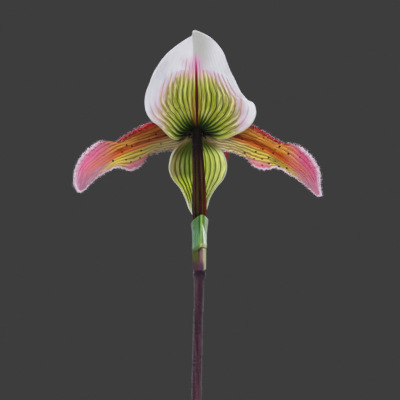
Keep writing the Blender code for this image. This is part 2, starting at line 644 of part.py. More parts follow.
def make_ovary(material):
    """The ribbed ovary and its stalk, from the flower's neck down into the bract."""
    points, radii = ovary_centre_line()
    shares = np.linspace(0.0, 1.0, OVARY_RINGS)
    steps = np.linalg.norm(np.diff(points, axis=0), axis=1)
    knots = np.concatenate([[0.0], np.cumsum(steps)]) / steps.sum()
    path = curve_through(points, shares)
    thick = np.interp(shares, knots, radii)
    depth = OVARY_RIB_DEPTH * np.interp(shares, OVARY_RIB_SHARES, (0.0, 1.0, 1.0, 0.0))
    return add_tube("ovary", path, thick, OVARY_SIDES, material, ribs=OVARY_RIBS, rib_depth=depth)


def make_bract(material):
    """A green bract wrapped round the stalk, its pointed tip at the back."""
    along = 1.0 - (1.0 - np.linspace(0.0, 1.0, BRACT_ROWS)[:, None]) ** BRACT_TIP_CROWDING
    across = np.linspace(-1.0, 1.0, BRACT_COLUMNS)[None, :]
    wrap = BRACT_WRAP * value_along(BRACT_WRAP_SHARES, along[:, 0])[:, None]
    radius = value_along(BRACT_RADII, along[:, 0])[:, None]
    turn = BRACT_BACK + wrap * across
    centre = np.array(FLOWER_CENTRE) + np.array([*OVARY_PATH[-1][0][:2], 0.0])
    x = centre[0] + radius * np.cos(turn)
    y = centre[1] + radius * np.sin(turn)
    z = centre[2] + BRACT_FOOT + (BRACT_TIP - BRACT_FOOT) * along + 0.0 * across
    return add_blade("bract", np.stack([x, y, z], axis=2), BRACT_THICKNESS, material)


def pouch_rings(rows, sides):
    """Rings of the slipper from its mouth down to its toe, as points of the flower frame."""
    shares = np.linspace(0.0, 1.0, rows)
    columns = [
        np.stack([value_along([pair[k] for pair in profile], shares) for k in (0, 1)], axis=1)
        for profile in (POUCH_FRONT, POUCH_BACK, POUCH_SIDE)
    ]
    front, back, side = (column[:, None] for column in columns)
    half_width = value_along(POUCH_HALF_WIDTH, shares)[:, None]
    swing = value_along(POUCH_SWING, shares)[:, None]
    turn = np.linspace(0.0, 2 * math.pi, sides, endpoint=False)[None, :]
    cosine, sine = np.cos(turn)[..., None], np.sin(turn)
    upright = front * (1 + cosine) / 2 + back * (1 - cosine) / 2
    upright = upright + (side - (front + back) / 2) * sine[..., None] ** 2
    # The rim rises and flares into an ear on each side, and its side lobes fold in behind them.
    from_front = np.minimum(turn, 2 * math.pi - turn)
    rim = np.clip(1.0 - RIM_FADE * shares[:, None], 0.0, 1.0) ** 1.5
    ear = rim * np.exp(-(((from_front - EAR_PLACE) / EAR_SPREAD) ** 2))
    fold = rim * np.exp(-(((from_front - FOLD_PLACE) / FOLD_SPREAD) ** 2))
    right = half_width * sine * (1 - FOLD_DEPTH * fold) + EAR_FLARE * ear * np.sign(sine)
    right = right + swing * (1 + cosine[..., 0]) / 2 + swing * 0.5 * sine**2
    upright[..., 0] += EAR_RISE * ear
    return np.concatenate([right[..., None], upright], axis=2)


def make_pouch(material):
    """The slipper-shaped lip, a thin-walled pouch open at the top."""
    rings = pouch_rings(POUCH_ROWS, POUCH_SIDES)
    points = np.concatenate([rings.reshape(-1, 3), [POUCH_TOE]])
    faces = grid_faces(POUCH_ROWS, POUCH_SIDES, wrap=True)
    last = (POUCH_ROWS - 1) * POUCH_SIDES
    for j in range(POUCH_SIDES):
        faces.append((last + j, last + (j + 1) % POUCH_SIDES, len(points) - 1))
    obj = add_object("pouch", flower_to_plant(points), faces, material)
    wall = obj.modifiers.new("Wall", "SOLIDIFY")
    wall.thickness = POUCH_WALL * MM
    wall.offset = 0.0
    return obj


def ball(name, place, radii, sides=9, rings=6):
    """A ball stretched along P, Q and D, in the flower frame."""
    turn = np.linspace(0.0, 2 * math.pi, sides, endpoint=False)
    tilt = np.linspace(BALL_CAP, math.pi - BALL_CAP, rings)[:, None]
    across, up = np.sin(tilt) * np.cos(turn), np.sin(tilt) * np.sin(turn)
    sphere = np.stack([across, up, np.cos(tilt) + 0 * turn], axis=2)
    points = sphere.reshape(-1, 3) * np.array(radii) + np.array(place)
    return add_object(name, flower_to_plant(points), ring_solid_faces(rings, sides))


def shield_outline(turn):
    """Reach of the shield's edge: broad, with a notch above and three small teeth below."""
    top_notch = 0.2 * np.exp(-(((turn - math.pi / 2) / 0.32) ** 2))
    teeth = sum(
        height * np.exp(-(((turn + math.pi / 2 - place) / 0.16) ** 2))
        for place, height in ((0.0, 0.1), (0.55, 0.14), (-0.55, 0.14))
    )
    lower = turn < 0
    return 1.0 - top_notch + teeth - 0.16 * lower * np.exp(-(((turn + math.pi / 2) / 0.75) ** 2))


def make_column(material):
    """The column with its shield in front, the stigma below and an anther on each side."""
    share = np.linspace(0.0, 1.0, 5)[:, None]
    path = np.array(COLUMN_START) + (np.array(COLUMN_END) - np.array(COLUMN_START)) * share
    stalk_radii = np.array(COLUMN_SWELL) * COLUMN_RADIUS
    column = add_tube("column", flower_to_plant(path), stalk_radii, COLUMN_SIDES, material)
    turn = np.linspace(-math.pi, math.pi, SHIELD_SIDES, endpoint=False)
    depth, shrink = (np.array(values)[:, None] for values in zip(*SHIELD_SECTION))
    reach = shield_outline(turn) * shrink
    points = np.stack([
        reach * SHIELD_HALF_WIDTH * np.cos(turn),
        reach * SHIELD_HALF_HEIGHT * np.sin(turn),
        depth * SHIELD_THICKNESS + 0 * turn,
    ], axis=2).reshape(-1, 3)
    lean = np.array(Matrix.Rotation(SHIELD_LEAN, 3, "X"))
    points = points @ lean.T + np.array(SHIELD_PLACE)
    faces = ring_solid_faces(len(SHIELD_SECTION), SHIELD_SIDES)
    pieces = [
        add_object("shield", flower_to_plant(points), faces),
        ball("stigma", STIGMA_PLACE, STIGMA_RADII),
    ]
    for side in (-1, 1):
        place = np.array(ANTHER_PLACE) * (side, 1, 1)
        pieces.append(ball(f"anther {side}", place, ANTHER_RADII, sides=8, rings=5))
    boolean_with(column, pieces, "UNION")
    return column


def main():
    clear_scene()
    clay = make_material("clay", (0.45, 0.19, 0.10), 0.85)
    bark = make_material("bark", (0.16, 0.08, 0.045), 0.9)
    root = make_material("rhizome", (0.30, 0.24, 0.10), 0.7)
    leaf = make_material("leaf", (0.09, 0.20, 0.06), 0.4)
    stem = make_material("stem", (0.08, 0.02, 0.035), 0.6)
    green = make_material("bract", (0.24, 0.42, 0.17), 0.5)
    sepal = make_material("sepal", (0.62, 0.64, 0.42), 0.5)
    petal = make_material("petal", (0.60, 0.22, 0.14), 0.5)
    lip = make_material("lip", (0.25, 0.07, 0.05), 0.3)
    shield = make_material("shield", (0.45, 0.55, 0.20), 0.35)

    make_pot(clay)
    make_mix(bark)
    make_rhizome(root)
    main_names = [f"leaf_{k + 1}" for k in range(len(MAIN_LEAVES))]
    shoot_names = [f"shoot_leaf_{k + 1}" for k in range(len(SHOOT_LEAVES))]
    fan_place = (0.0, 0.0, MIX_TOP + LEAF_FOOT_RISE)
    shoot_place = (*SHOOT_PLACE, MIX_TOP - SHOOT_DROP + SHOOT_FOOT_RISE)
    make_fan(main_names, MAIN_LEAVES, SHEATH_FIRST_RADIUS, SHEATH_STEP, FAN_TURN, fan_place, 0.0, leaf)
    make_fan(
        shoot_names, SHOOT_LEAVES, SHOOT_FIRST_RADIUS, SHOOT_SHEATH_STEP, SHOOT_TURN, shoot_place,
        SHOOT_LEAN, leaf,
    )
    make_stem(stem)
    make_ovary(stem)
    make_bract(green)
    blades = (
        ("dorsal_sepal", (DORSAL_LEFT, DORSAL_MID, DORSAL_RIGHT), 18, 11, sepal),
        ("synsepal", (SYNSEPAL_LEFT, SYNSEPAL_MID, SYNSEPAL_RIGHT), 14, 7, sepal),
        ("petal_left", (LEFT_PETAL_UPPER, LEFT_PETAL_MID, LEFT_PETAL_LOWER), 24, 7, petal),
        ("petal_right", (RIGHT_PETAL_UPPER, RIGHT_PETAL_MID, RIGHT_PETAL_LOWER), 24, 7, petal),
    )
    for name, rails, rows, columns, material in blades:
        grid = rail_grid(*rails, rows, columns)
        add_blade(name, flower_to_plant(grid.reshape(-1, 3)).reshape(grid.shape), BLADE_THICKNESS, material)
    make_pouch(lip)
    make_column(shield)


main()
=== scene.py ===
"""The looks of a potted slipper orchid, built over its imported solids.

Lengths are millimetres until a mesh is made. The origin is the middle of the pot's foot, +Z is up, and
the flower looks towards +Y. P, Q and D are right, up and forward of the flower, seen from behind it.
A blade is a grid of points: t runs from its foot to its tip, and u from -1 to 1 between its margins.
Colours are red, green and blue from 0 to 255. Materials read places in metres, except on the sepals,
the petals and the shield, where P, Q and D come with the mesh in millimetres.
"""

import json
import math

import bmesh
import bpy
import numpy as np
from mathutils import Matrix, Vector

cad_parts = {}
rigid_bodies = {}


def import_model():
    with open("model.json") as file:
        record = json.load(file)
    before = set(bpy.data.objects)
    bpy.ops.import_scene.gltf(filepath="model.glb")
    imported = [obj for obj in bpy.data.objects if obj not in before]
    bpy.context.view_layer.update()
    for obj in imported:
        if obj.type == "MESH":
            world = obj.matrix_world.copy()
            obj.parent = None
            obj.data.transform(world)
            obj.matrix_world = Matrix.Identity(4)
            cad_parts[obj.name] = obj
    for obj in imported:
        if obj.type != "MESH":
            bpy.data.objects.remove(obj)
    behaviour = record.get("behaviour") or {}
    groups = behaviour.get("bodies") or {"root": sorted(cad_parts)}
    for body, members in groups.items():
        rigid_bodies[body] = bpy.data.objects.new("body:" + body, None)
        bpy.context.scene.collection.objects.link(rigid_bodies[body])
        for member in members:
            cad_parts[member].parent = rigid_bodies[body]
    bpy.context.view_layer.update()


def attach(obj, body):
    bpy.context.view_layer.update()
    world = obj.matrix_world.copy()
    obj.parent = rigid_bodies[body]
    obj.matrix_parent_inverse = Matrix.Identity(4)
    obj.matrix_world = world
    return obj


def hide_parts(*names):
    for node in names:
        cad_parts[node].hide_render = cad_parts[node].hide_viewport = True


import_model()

MM = 0.001
FULL_TURN = 2 * math.pi
# The most that a hair or a chip turns about its own axis, in radians
MOST_SPIN = 3.14

# Sizes of the solids, except that the fourth leaf is 0.1 mm shorter and the petals stand up to 0.6 mm
# higher here, and that the feet of the sepals and petals meet the ovary's neck
POT_HEIGHT, POT_FOOT_RADIUS, POT_NECK_RADIUS, POT_RIM_RADIUS = 100.0, 38.0, 50.5, 55.0
POT_RIM_HEIGHT, POT_WALL, POT_FLOOR = 22.0, 5.0, 6.0
POT_ROUNDINGS = (1.2, 0.6, 1.5, 1.5, 1.5, 3.0)
DRAIN_HOLES, DRAIN_RADIUS, DRAIN_CIRCLE = 4, 5.0, 21.0
MIX_TOP = 88.0
HEAD_RADIUS, SHOOT_HEAD_RADIUS, SHOOT_PLACE, SHOOT_DROP = 14.8, 7.2, (-7.3, -20.1), 0.4
FAN_TURN, FAN_FOOT = math.radians(14), (0.0, 0.0, 88.36)
SHEATH_FIRST_RADIUS, SHEATH_STEP, SHEATH_FLATNESS = 4.7, 1.95, 0.82
SHEATH_MOST_ARM, SHEATH_MOST_WRAP, SHEATH_ANGLES = 14.0, 1.6, (88.0, 84.0)
LEAF_THICKNESS, LEAF_TIP_HALF_WIDTH, SWING_SHARE = 1.0, 0.9, 0.25
LEAF_ANGLE_SHARES = (0.0, 0.09, 0.3, 0.62, 1.0)
LEAF_WIDTHS = (0.62, 0.9, 1.0, 0.93, 0.66)
LEAF_CURLS = (0.8, 0.5, 0.36, 0.3, 0.26, 0.2)
LEAF_FOLDS = (0.0, 0.22, 0.2, 0.16, 0.14, 0.16, 0.2)
LEAF_SQUASH = (SHEATH_FLATNESS, 0.95, 1.0, 1.0, 1.0, 1.0, 1.0)
# length, half width, angle above the horizon where it leaves the fan and at its tip, sideways swing
MAIN_LEAVES = (
    (98.0, 13.0, 80.0, 54.0, 5.0), (128.0, 17.0, 62.0, 8.0, -7.0), (146.0, 18.5, 54.0, -14.0, -6.0),
    (151.9, 19.5, 47.0, -24.0, 9.0), (142.0, 19.0, 41.0, -30.0, 10.0), (120.0, 17.5, 34.0, -30.0, -11.0),
)
SHOOT_LEAVES = ((44.0, 7.0, 78.0, 55.0, 0.0), (60.0, 9.0, 66.0, 22.0, 6.0), (66.0, 10.5, 54.0, -2.0, -8.0))
SHOOT_LEAN, SHOOT_TURN = math.radians(24), math.radians(-8)
SHOOT_FIRST_RADIUS, SHOOT_SHEATH_STEP, SHOOT_FOOT_RISE = 2.2, 1.95, 0.5
STEM_PATH = ((0.0, 0.0, 88.4), (-1.5, 1.0, 170.0), (-0.6, 0.5, 262.0), (0.85, 0.0, 326.6))
STEM_RADII = (2.3, 1.75, 1.6, 1.55)
STEM_NODE_RADIUS, STEM_NODE_HEIGHT = 2.15, 3.2
# How thick the ring under the bract is on its way up, as shares of its radius
STEM_NODE_SWELL = (0.76, 0.93, 1.0, 0.99, 0.86)
FLOWER_NOD = math.radians(12)
FLOWER_CENTRE = np.array((0.0, 10.5, 375.0))
# The directions of P, Q and D in the plant's frame
FLOWER_AXES = np.array((
    (1.0, 0.0, 0.0),
    (0.0, math.sin(FLOWER_NOD), math.cos(FLOWER_NOD)),
    (0.0, math.cos(FLOWER_NOD), -math.sin(FLOWER_NOD)),
))
BLADE_THICKNESS = 0.75
# x, y and z from the flower's centre, and the radius there
OVARY_PATH = np.array((
    (0.1, -7.3, -0.9, 1.8), (0.3, -9.7, -5.5, 1.85), (0.6, -10.5, -13.0, 2.1), (0.8, -10.5, -20.0, 2.35),
    (0.85, -10.5, -26.5, 2.5), (0.85, -10.5, -30.5, 1.85), (0.85, -10.5, -34.0, 1.4),
    (0.85, -10.5, -48.0, 1.35),
))
NECK_RADIUS, NECK_PATH = 1.8, ((0.0, 0.0, 1.7), (0.0, 0.0, 0.0), (0.0, 0.3, -3.2))
OVARY_RIBS, OVARY_RIB_TURN = 8, math.radians(94.5)
BRACT_FOOT, BRACT_TIP, BRACT_THICKNESS = -48.05, -27.2, 0.6
BRACT_RADII = (2.05, 2.1, 2.15, 2.2, 2.35, 2.8, 3.35)
BRACT_BACK, BRACT_WRAP, BRACT_TIP_TURN = math.radians(-105), math.radians(158), math.radians(30)
BRACT_WRAP_SHARES = (1.0, 1.0, 1.0, 1.0, 0.95, 0.56, 0.03)
# Each flower blade: its left margin, its midrib and its right margin, from foot to tip, as P, Q and D
DORSAL = (
    (
        (-2.0, -0.2, 0.0), (-8.4, -2.4, -0.3), (-11.2, -0.2, -0.4), (-13.6, 2.3, -0.2),
        (-16.4, 4.5, 0.4), (-18.3, 7.4, 1.2), (-18.9, 11.6, 2.2), (-16.8, 19.1, 3.4),
        (-12.6, 26.7, 3.6), (-7.7, 31.3, 3.0), (-3.6, 34.0, 2.4), (-1.7, 35.0, 1.8), (-1.4, 36.9, 1.4),
    ),
    ((0.0, 2.05, 0.0), (0.0, 8.0, -1.6), (-0.1, 16.0, -2.6), (-0.4, 26.0, -2.0), (-1.1, 37.0, 1.0)),
    (
        (2.0, -0.2, 0.0), (9.8, -2.3, -0.4), (14.1, -0.6, -0.8), (17.6, 1.2, -1.4), (20.2, 3.9, -2.2),
        (21.3, 7.6, -2.8), (20.5, 10.3, -2.4), (18.4, 11.5, -1.0), (16.4, 13.8, 0.6),
        (14.2, 17.8, 2.0), (11.6, 23.6, 3.0), (9.2, 29.6, 3.0), (6.2, 33.4, 2.4), (2.6, 35.8, 1.6),
        (-0.7, 37.1, 1.2),
    ),
)
SYNSEPAL = (
    (
        (-1.6, -1.0, 0.0), (-4.3, -3.2, 0.0), (-7.2, -4.8, 0.3), (-9.0, -7.2, 0.9), (-9.9, -10.2, 1.6),
        (-10.1, -13.2, 2.2), (-9.0, -16.2, 2.8), (-6.2, -19.6, 3.2), (-4.1, -23.6, 3.5),
        (-2.5, -27.8, 3.8), (0.1, -31.2, 4.0),
    ),
    ((0.0, -2.1, 0.0), (0.1, -9.0, -0.4), (0.2, -17.0, 0.4), (0.4, -31.3, 3.8)),
    (
        (1.6, -1.0, 0.0), (4.1, -3.2, 0.0), (7.0, -4.6, 0.3), (9.2, -6.8, 0.9), (10.5, -9.8, 1.6),
        (10.8, -13.0, 2.2), (9.8, -16.0, 2.8), (6.9, -19.6, 3.2), (4.7, -23.2, 3.5), (3.2, -27.8, 3.8),
        (0.7, -31.2, 4.0),
    ),
)
LEFT_PETAL = (
    (
        (-1.9, 0.9, 1.3), (-8.5, 3.0, 2.2), (-15.9, 4.1, 3.2), (-19.6, 2.7, 2.6), (-25.4, -0.4, 3.8),
        (-30.8, -3.8, 4.0), (-34.7, -2.9, 1.6), (-38.4, -5.0, 0.6), (-42.6, -9.6, 1.0),
        (-44.5, -15.6, 0.6), (-44.2, -19.2, -0.4), (-42.9, -21.3, -1.2),
    ),
    (
        (-2.0, 0.0, 1.3), (-12.0, -2.0, 3.0), (-21.0, -4.2, 4.4), (-31.0, -8.6, 4.0),
        (-38.6, -14.0, 2.0), (-42.4, -21.4, -1.2),
    ),
    (
        (-1.9, -0.9, 1.3), (-7.6, -6.0, 2.6), (-13.6, -6.8, 3.6), (-18.4, -8.7, 3.0), (-20.3, -11.9, 1.2),
        (-24.3, -13.6, 0.8), (-28.2, -12.4, 2.6), (-33.0, -14.2, 3.0), (-38.4, -18.4, 1.4),
        (-41.0, -21.0, -0.6), (-41.9, -21.4, -1.2),
    ),
)
RIGHT_PETAL = (
    (
        (1.9, 0.9, 1.3), (10.0, 3.2, 2.2), (17.6, 3.7, 3.2), (22.1, 1.8, 2.6), (27.0, -1.2, 3.8),
        (31.6, -3.8, 4.0), (36.6, -4.4, 1.4), (41.0, -8.0, 0.8), (44.2, -13.2, 1.0), (44.7, -19.8, 0.2),
        (45.0, -22.7, -1.2),
    ),
    (
        (2.0, 0.0, 1.3), (13.0, -2.0, 3.0), (23.0, -5.3, 4.4), (32.4, -10.3, 4.0), (39.4, -15.9, 2.0),
        (44.2, -22.9, -1.2),
    ),
    (
        (1.9, -0.9, 1.3), (8.0, -6.2, 2.6), (13.6, -7.2, 3.6), (18.0, -9.2, 3.0), (21.0, -12.3, 1.2),
        (24.4, -13.3, 0.8), (28.3, -12.5, 2.6), (34.4, -15.4, 3.0), (38.8, -18.8, 1.4),
        (42.4, -22.1, -0.2), (43.6, -23.0, -1.2),
    ),
)
MIDRIB_LAG = 1.25
# The slipper's outline in front, behind and at its sides, from mouth to toe, as Q and D
POUCH_FRONT = (
    (-7.6, 21.6), (-9.8, 23.6), (-12.8, 25.4), (-16.0, 26.0), (-19.0, 25.2), (-21.2, 23.2), (-22.2, 21.4),
)
POUCH_BACK = (
    (-1.9, 2.5), (-4.8, 3.9), (-8.4, 6.6), (-12.4, 10.0), (-16.4, 13.8), (-20.0, 17.2), (-21.8, 19.4),
)
POUCH_SIDE = (
    (-2.6, 11.6), (-6.4, 12.8), (-10.3, 15.0), (-14.2, 17.4), (-17.6, 19.4), (-20.7, 20.3), (-22.1, 20.4),
)
POUCH_HALF_WIDTH = (8.5, 9.9, 9.8, 8.8, 7.0, 4.3, 1.3)
POUCH_SWING = (1.2, 1.3, 1.2, 1.0, 0.9, 0.9, 0.9)
POUCH_TOE, POUCH_WALL, RIM_FADE = (0.9, -22.3, 20.4), 0.8, 2.6
EAR_PLACE, EAR_SPREAD, EAR_RISE, EAR_FLARE = math.radians(62), 0.34, 2.6, 1.3
FOLD_PLACE, FOLD_SPREAD, FOLD_DEPTH = math.radians(128), 0.42, 0.22
COLUMN_RADIUS, COLUMN_SWELL = 1.25, (1.0, 0.96, 1.0, 1.12, 1.2)
COLUMN_START, COLUMN_END = np.array((0.0, 0.6, 2.15)), np.array((0.0, 0.0, 7.6))
SHIELD_PLACE, SHIELD_LEAN = (0.0, 0.1, 8.3), math.radians(-22)
SHIELD_HALF_WIDTH, SHIELD_HALF_HEIGHT, SHIELD_THICKNESS = 4.4, 3.9, 1.1
# The shield's section from the middle of its back to the middle of its face, as shares of its reach
# and of its thickness
SHIELD_SECTION = (
    (0.02, -0.42), (0.5, -0.46), (0.86, -0.5), (0.97, -0.3), (1.0, -0.05), (0.97, 0.2), (0.9, 0.36),
    (0.75, 0.46), (0.5, 0.4), (0.25, 0.22), (0.08, 0.14), (0.02, 0.13),
)
STIGMA_PLACE, STIGMA_RADII = (0.0, -2.0, 5.6), (1.7, 1.0, 1.7)
ANTHER_PLACE, ANTHER_RADII = (1.9, -0.6, 5.2), (1.0, 1.0, 1.0)

# What the scene adds to the solids. The bract's fold is an arch over a sheath, with a keel beside it.
ARCH_TOP, ARCH_MIDDLE, ARCH_SLOPE, ARCH_DROP = -39.4, 1.4, 0.72, 0.2
# Where a vein lies across a blade: the number of the vein, from the share of the way to the margin
VEIN_FIRST, VEIN_SPREAD = 0.083, 0.0016
# The petals' larger spots, as P and Q
LEFT_PETAL_SPOTS = (
    (-14.8, -0.4), (-11.5, -0.7), (-25.4, -4.3), (-23.4, -4.7), (-27.0, -6.7), (-20.2, -6.5), (-13.0, -3.8),
    (-25.6, -9.7), (-23.8, -10.4), (-20.5, -9.0), (-30.4, -10.0), (-17.2, -2.0),
)
RIGHT_PETAL_SPOTS = (
    (24.0, -1.4), (22.5, 1.4), (24.8, 0.2), (20.2, 2.5), (16.2, -2.1), (29.9, -5.0), (33.0, -7.4),
    (28.4, -2.7), (23.7, -5.8), (27.5, -7.2), (25.9, -8.9), (23.5, -9.5), (25.9, -11.2), (23.5, -11.7),
    (20.4, -9.5), (21.1, -6.8), (17.3, -7.1), (28.1, -10.4), (29.5, -12.1), (32.6, -12.7), (37.4, -8.6),
)
# Where the dark streak runs between a petal's margins, at these shares of its length
STREAK_SHARES = (0.0, 0.3, 0.45, 0.6, 0.85)
LEFT_STREAK, RIGHT_STREAK = (-0.22, -0.2, -0.06, -0.1, 0.0), (-0.2, -0.22, -0.22, -0.16, -0.1)
# Rows along and columns across each blade's grid
HOOD_GRID, SYNSEPAL_GRID, PETAL_GRID, BRACT_GRID = (130, 151), (90, 91), (200, 71), (120, 131)
POUCH_GRID, LEAF_GRID, SCALE_GRID = (90, 128), (100, 35), (16, 19)
# Rings along the round shapes, and sides round them
OVARY_RINGS, OVARY_SIDES, STEM_RINGS, STEM_SIDES, COLUMN_RINGS, COLUMN_SIDES = 120, 64, 150, 28, 20, 28
SHIELD_SIDES, POT_SIDES, DRAIN_SIDES, PLUG_SIDES, CROWN_SIDES, FLOOR_SIDES = 96, 144, 32, 96, 72, 128
BED_RINGS, BED_SIDES = 9, 72
# Warts on a petal: in the row along its upper margin, and strewn between the larger spots. Each
# stands so far from the petal's middle, near the margin and elsewhere, and is so flat.
MARGIN_WARTS, STREWN_WARTS, WART_FLATNESS = 44, 12, 0.45
WART_STAND_AT_MARGIN, WART_STAND = 0.2, 0.36
POT_WAVER, CHIP_SHAPES = 0.006, 6
# The plug of bark: its gaps to the pot's wall and floor, the bevel at its foot, how far its top lies
# under the mix's, and the room that it leaves for the rhizome
PLUG_GAP, PLUG_FLOOR_GAP, PLUG_BEVEL, PLUG_BEVEL_HEIGHT, PLUG_DROP = 0.35, 0.3, 4.0, 3.6, 2.0
WELL_ROOM, WELL_DEPTH = 0.3, 16.3
# A bark chip's section: the height and the reach of each of its rings, as shares of its size
CHIP_SECTION = ((-0.5, 0.8), (-0.15, 1.0), (0.25, 0.96), (0.5, 0.74))
# The most chips to a square metre, before their spacing thins them
CHIP_DENSITY = 400000.0
# Each layer of bark: its height, its inner and outer radius, the chips' spacing, tilt and size, and
# the room left round the side shoot
BARK_LAYERS = (
    (86.2, 16.4, 45.4, 2.6, 1.2, 0.36, 1.5), (86.8, 16.8, 41.0, 5.2, 0.5, 1.0, 4.2),
    (88.3, 17.2, 41.0, 5.0, 0.42, 1.0, 4.4),
)
# How deep the cells of the plant's skin are, in metres
CELL_DEPTH = 0.00002
BACKDROP, FLOOR_RADIUS, FLOOR_HEIGHT = (61, 61, 61), 900.0, -0.1
CAMERA_TILT, CAMERA_SHIFT, CAMERA_DROP = math.radians(12), 1.08, 24.1
# Each lamp: its place and size in metres, its power and its colour
LAMPS = (
    ((-0.75, -1.15, 1.0), 0.9, 17.0, (1.0, 0.985, 0.96)),
    ((0.95, -0.85, 0.55), 0.8, 8.0, (0.96, 0.98, 1.0)),
    ((0.55, 1.25, 0.85), 0.9, 12.0, (1.0, 0.99, 0.97)),
    ((-0.95, 0.9, 0.5), 0.8, 6.0, (0.97, 0.98, 1.0)),
    ((0.0, 0.1, 1.7), 1.1, 8.0, (1.0, 1.0, 1.0)),
)
LAMP_TARGET = (0.0, 0.0, 0.27)


def knots_of(points):
    """How far along a line each of its points lies, as a share of its length."""
    steps = np.linalg.norm(np.diff(points, axis=0), axis=1)
    return np.concatenate([[0.0], np.cumsum(steps)]) / steps.sum()


def hermite(knots, points, shares):
    """A smooth line through points that lie at the knots, read at the shares."""
    slopes = np.gradient(points, knots, axis=0)
    span = np.clip(np.searchsorted(knots, shares, side="right") - 1, 0, len(knots) - 2)
    width = (knots[span + 1] - knots[span])[:, None]
    x = (shares - knots[span])[:, None] / width
    return (
        (2 * x**3 - 3 * x**2 + 1) * points[span]
        + (x**3 - 2 * x**2 + x) * slopes[span] * width
        + (3 * x**2 - 2 * x**3) * points[span + 1]
        + (x**3 - x**2) * slopes[span + 1] * width
    )


def curve_through(points, shares):
    """Points at the given shares of a smooth curve that passes through every given point."""
    points = np.asarray(points, float)
    return hermite(knots_of(points), points, np.ravel(shares))


def value_along(values, shares):
    """A single number that runs smoothly through evenly spaced values."""
    knots = np.linspace(0.0, 1.0, len(values))
    line = hermite(knots, np.asarray(values, float)[:, None], np.clip(np.ravel(shares), 0.0, 1.0))
    return line.reshape(np.shape(shares))


def flower_to_plant(points):
    """Points of the flower frame (P, Q, D) in the plant's frame."""
    return FLOWER_CENTRE + np.asarray(points, float) @ FLOWER_AXES


def stacked(*parts):
    """Arrays side by side along a new last axis, each stretched to the same size."""
    return np.stack(np.broadcast_arrays(*parts), axis=-1)


def ring_angles(sides):
    """Even angles round a circle, in radians."""
    return np.linspace(0.0, FULL_TURN, sides, endpoint=False)


def around(angle, reach, height, centre=(0.0, 0.0)):
    """Points at an angle and a distance round an upright line through the centre."""
    return stacked(centre[0] + reach * np.cos(angle), centre[1] + reach * np.sin(angle), height)


def turned_about_z(points, angle):
    """Points turned about the plant's upright axis."""
    return points @ np.array(Matrix.Rotation(angle, 3, "Z")).T


def ease(value, low, high):
    """Nought at low, one at high, and smooth between."""
    x = np.clip((value - low) / (high - low), 0.0, 1.0)
    return x * x * (3 - 2 * x)


def hump(value, middle, spread):
    """One at the middle, falling off smoothly on both sides."""
    return np.exp(-(((value - middle) / spread) ** 2))


def ripple(count):
    """One at every whole number and minus one halfway between."""
    return np.cos((count - np.round(count)) * FULL_TURN)


def uneven(place, seed, waves):
    """A smooth uneven run of values round nought, as many waves long as asked."""
    draw = np.random.default_rng(seed)
    total = np.zeros_like(place, float)
    for share, height in ((0.37, 0.5), (0.71, 0.8), (1.0, 1.0), (1.63, 0.55), (2.41, 0.3)):
        total = total + height * np.sin(FULL_TURN * (place * waves * share + draw.uniform()))
    return total / 2.0


def grid_normals(grid, ring=False):
    """Unit vectors square to a grid of points, on the side that its quads face."""
    if ring:
        across = np.roll(grid, -1, axis=1) - np.roll(grid, 1, axis=1)
    else:
        across = np.gradient(grid, axis=1)
    normals = np.cross(across, np.gradient(grid, axis=0))
    return normals / np.maximum(np.linalg.norm(normals, axis=2, keepdims=True), 1e-9)


def from_margin(grid, ring=False):
    """How far each point of a grid lies from the nearest margin."""
    down = np.linalg.norm(np.diff(grid, axis=0), axis=2)
    down = np.concatenate([np.zeros((1, grid.shape[1])), np.cumsum(down, axis=0)])
    if ring:
        return down
    side = np.linalg.norm(np.diff(grid, axis=1), axis=2)
    side = np.concatenate([np.zeros((len(grid), 1)), np.cumsum(side, axis=1)], axis=1)
    reach = np.minimum(side, side[:, -1:] - side)
    return np.minimum(reach, np.minimum(down, down[-1:] - down))


def add_object(name, points, faces, material=None, edges=(), smooth=True, **values):
    """A mesh object from points in millimetres, with named values on its points."""
    mesh = bpy.data.meshes.new(name)
    mesh.from_pydata((np.asarray(points, float) * MM).tolist(), edges, faces)
    for key, data in values.items():
        data = np.asarray(data, np.float32)
        flat = data.ndim == 1
        layer = mesh.attributes.new(key, "FLOAT" if flat else "FLOAT_VECTOR", "POINT")
        layer.data.foreach_set("value" if flat else "vector", data.ravel())
    if smooth:
        mesh.shade_smooth()
    if material is not None:
        mesh.materials.append(material)
    return link_object(name, mesh)


def link_object(name, data):
    """A new object in the scene, from its data."""
    obj = bpy.data.objects.new(name, data)
    bpy.context.scene.collection.objects.link(obj)
    return obj


def remove_objects(*objects):
    for obj in objects:
        bpy.data.objects.remove(obj, do_unlink=True)


def grid_quads(rows, columns, ring=False):
    """Quads between the neighbours of a grid whose points are numbered row by row."""
    i, j = np.meshgrid(np.arange(rows - 1), np.arange(columns - (not ring)), indexing="ij")
    a, b = (i * columns + j).ravel(), (i * columns + (j + 1) % columns).ravel()
    return np.stack([a, b, b + columns, a + columns], axis=1)


def ring_faces(rings, sides):
    """Quads between stacked rings, with a cap at each end."""
    first, last = list(range(sides)), [(rings - 1) * sides + k for k in range(sides)]
    return [*grid_quads(rings, sides, ring=True).tolist(), first[::-1], last]


def skin_shape(grid, half, ring=False):
    """Points and faces of a closed blade: two skins a thickness apart, joined round their margin."""
    rows, columns = grid.shape[:2]
    normals = grid_normals(grid, ring)
    skins = [(grid + normals * half).reshape(-1, 3), (grid - normals * half).reshape(-1, 3)]
    count = rows * columns
    top = grid_quads(rows, columns, ring)
    if ring:
        rim = list(range(columns)) + [0]
    else:
        rim = list(range(columns)) + [k * columns + columns - 1 for k in range(1, rows)]
        rim += [(rows - 1) * columns + k for k in range(columns - 2, -1, -1)]
        rim += [k * columns for k in range(rows - 2, -1, -1)]
    rim = np.array(rim)
    sides = np.stack([rim[1:], rim[:-1], rim[:-1] + count, rim[1:] + count], axis=1)
    return np.concatenate(skins), np.concatenate([top, top[:, ::-1] + count, sides]).tolist()


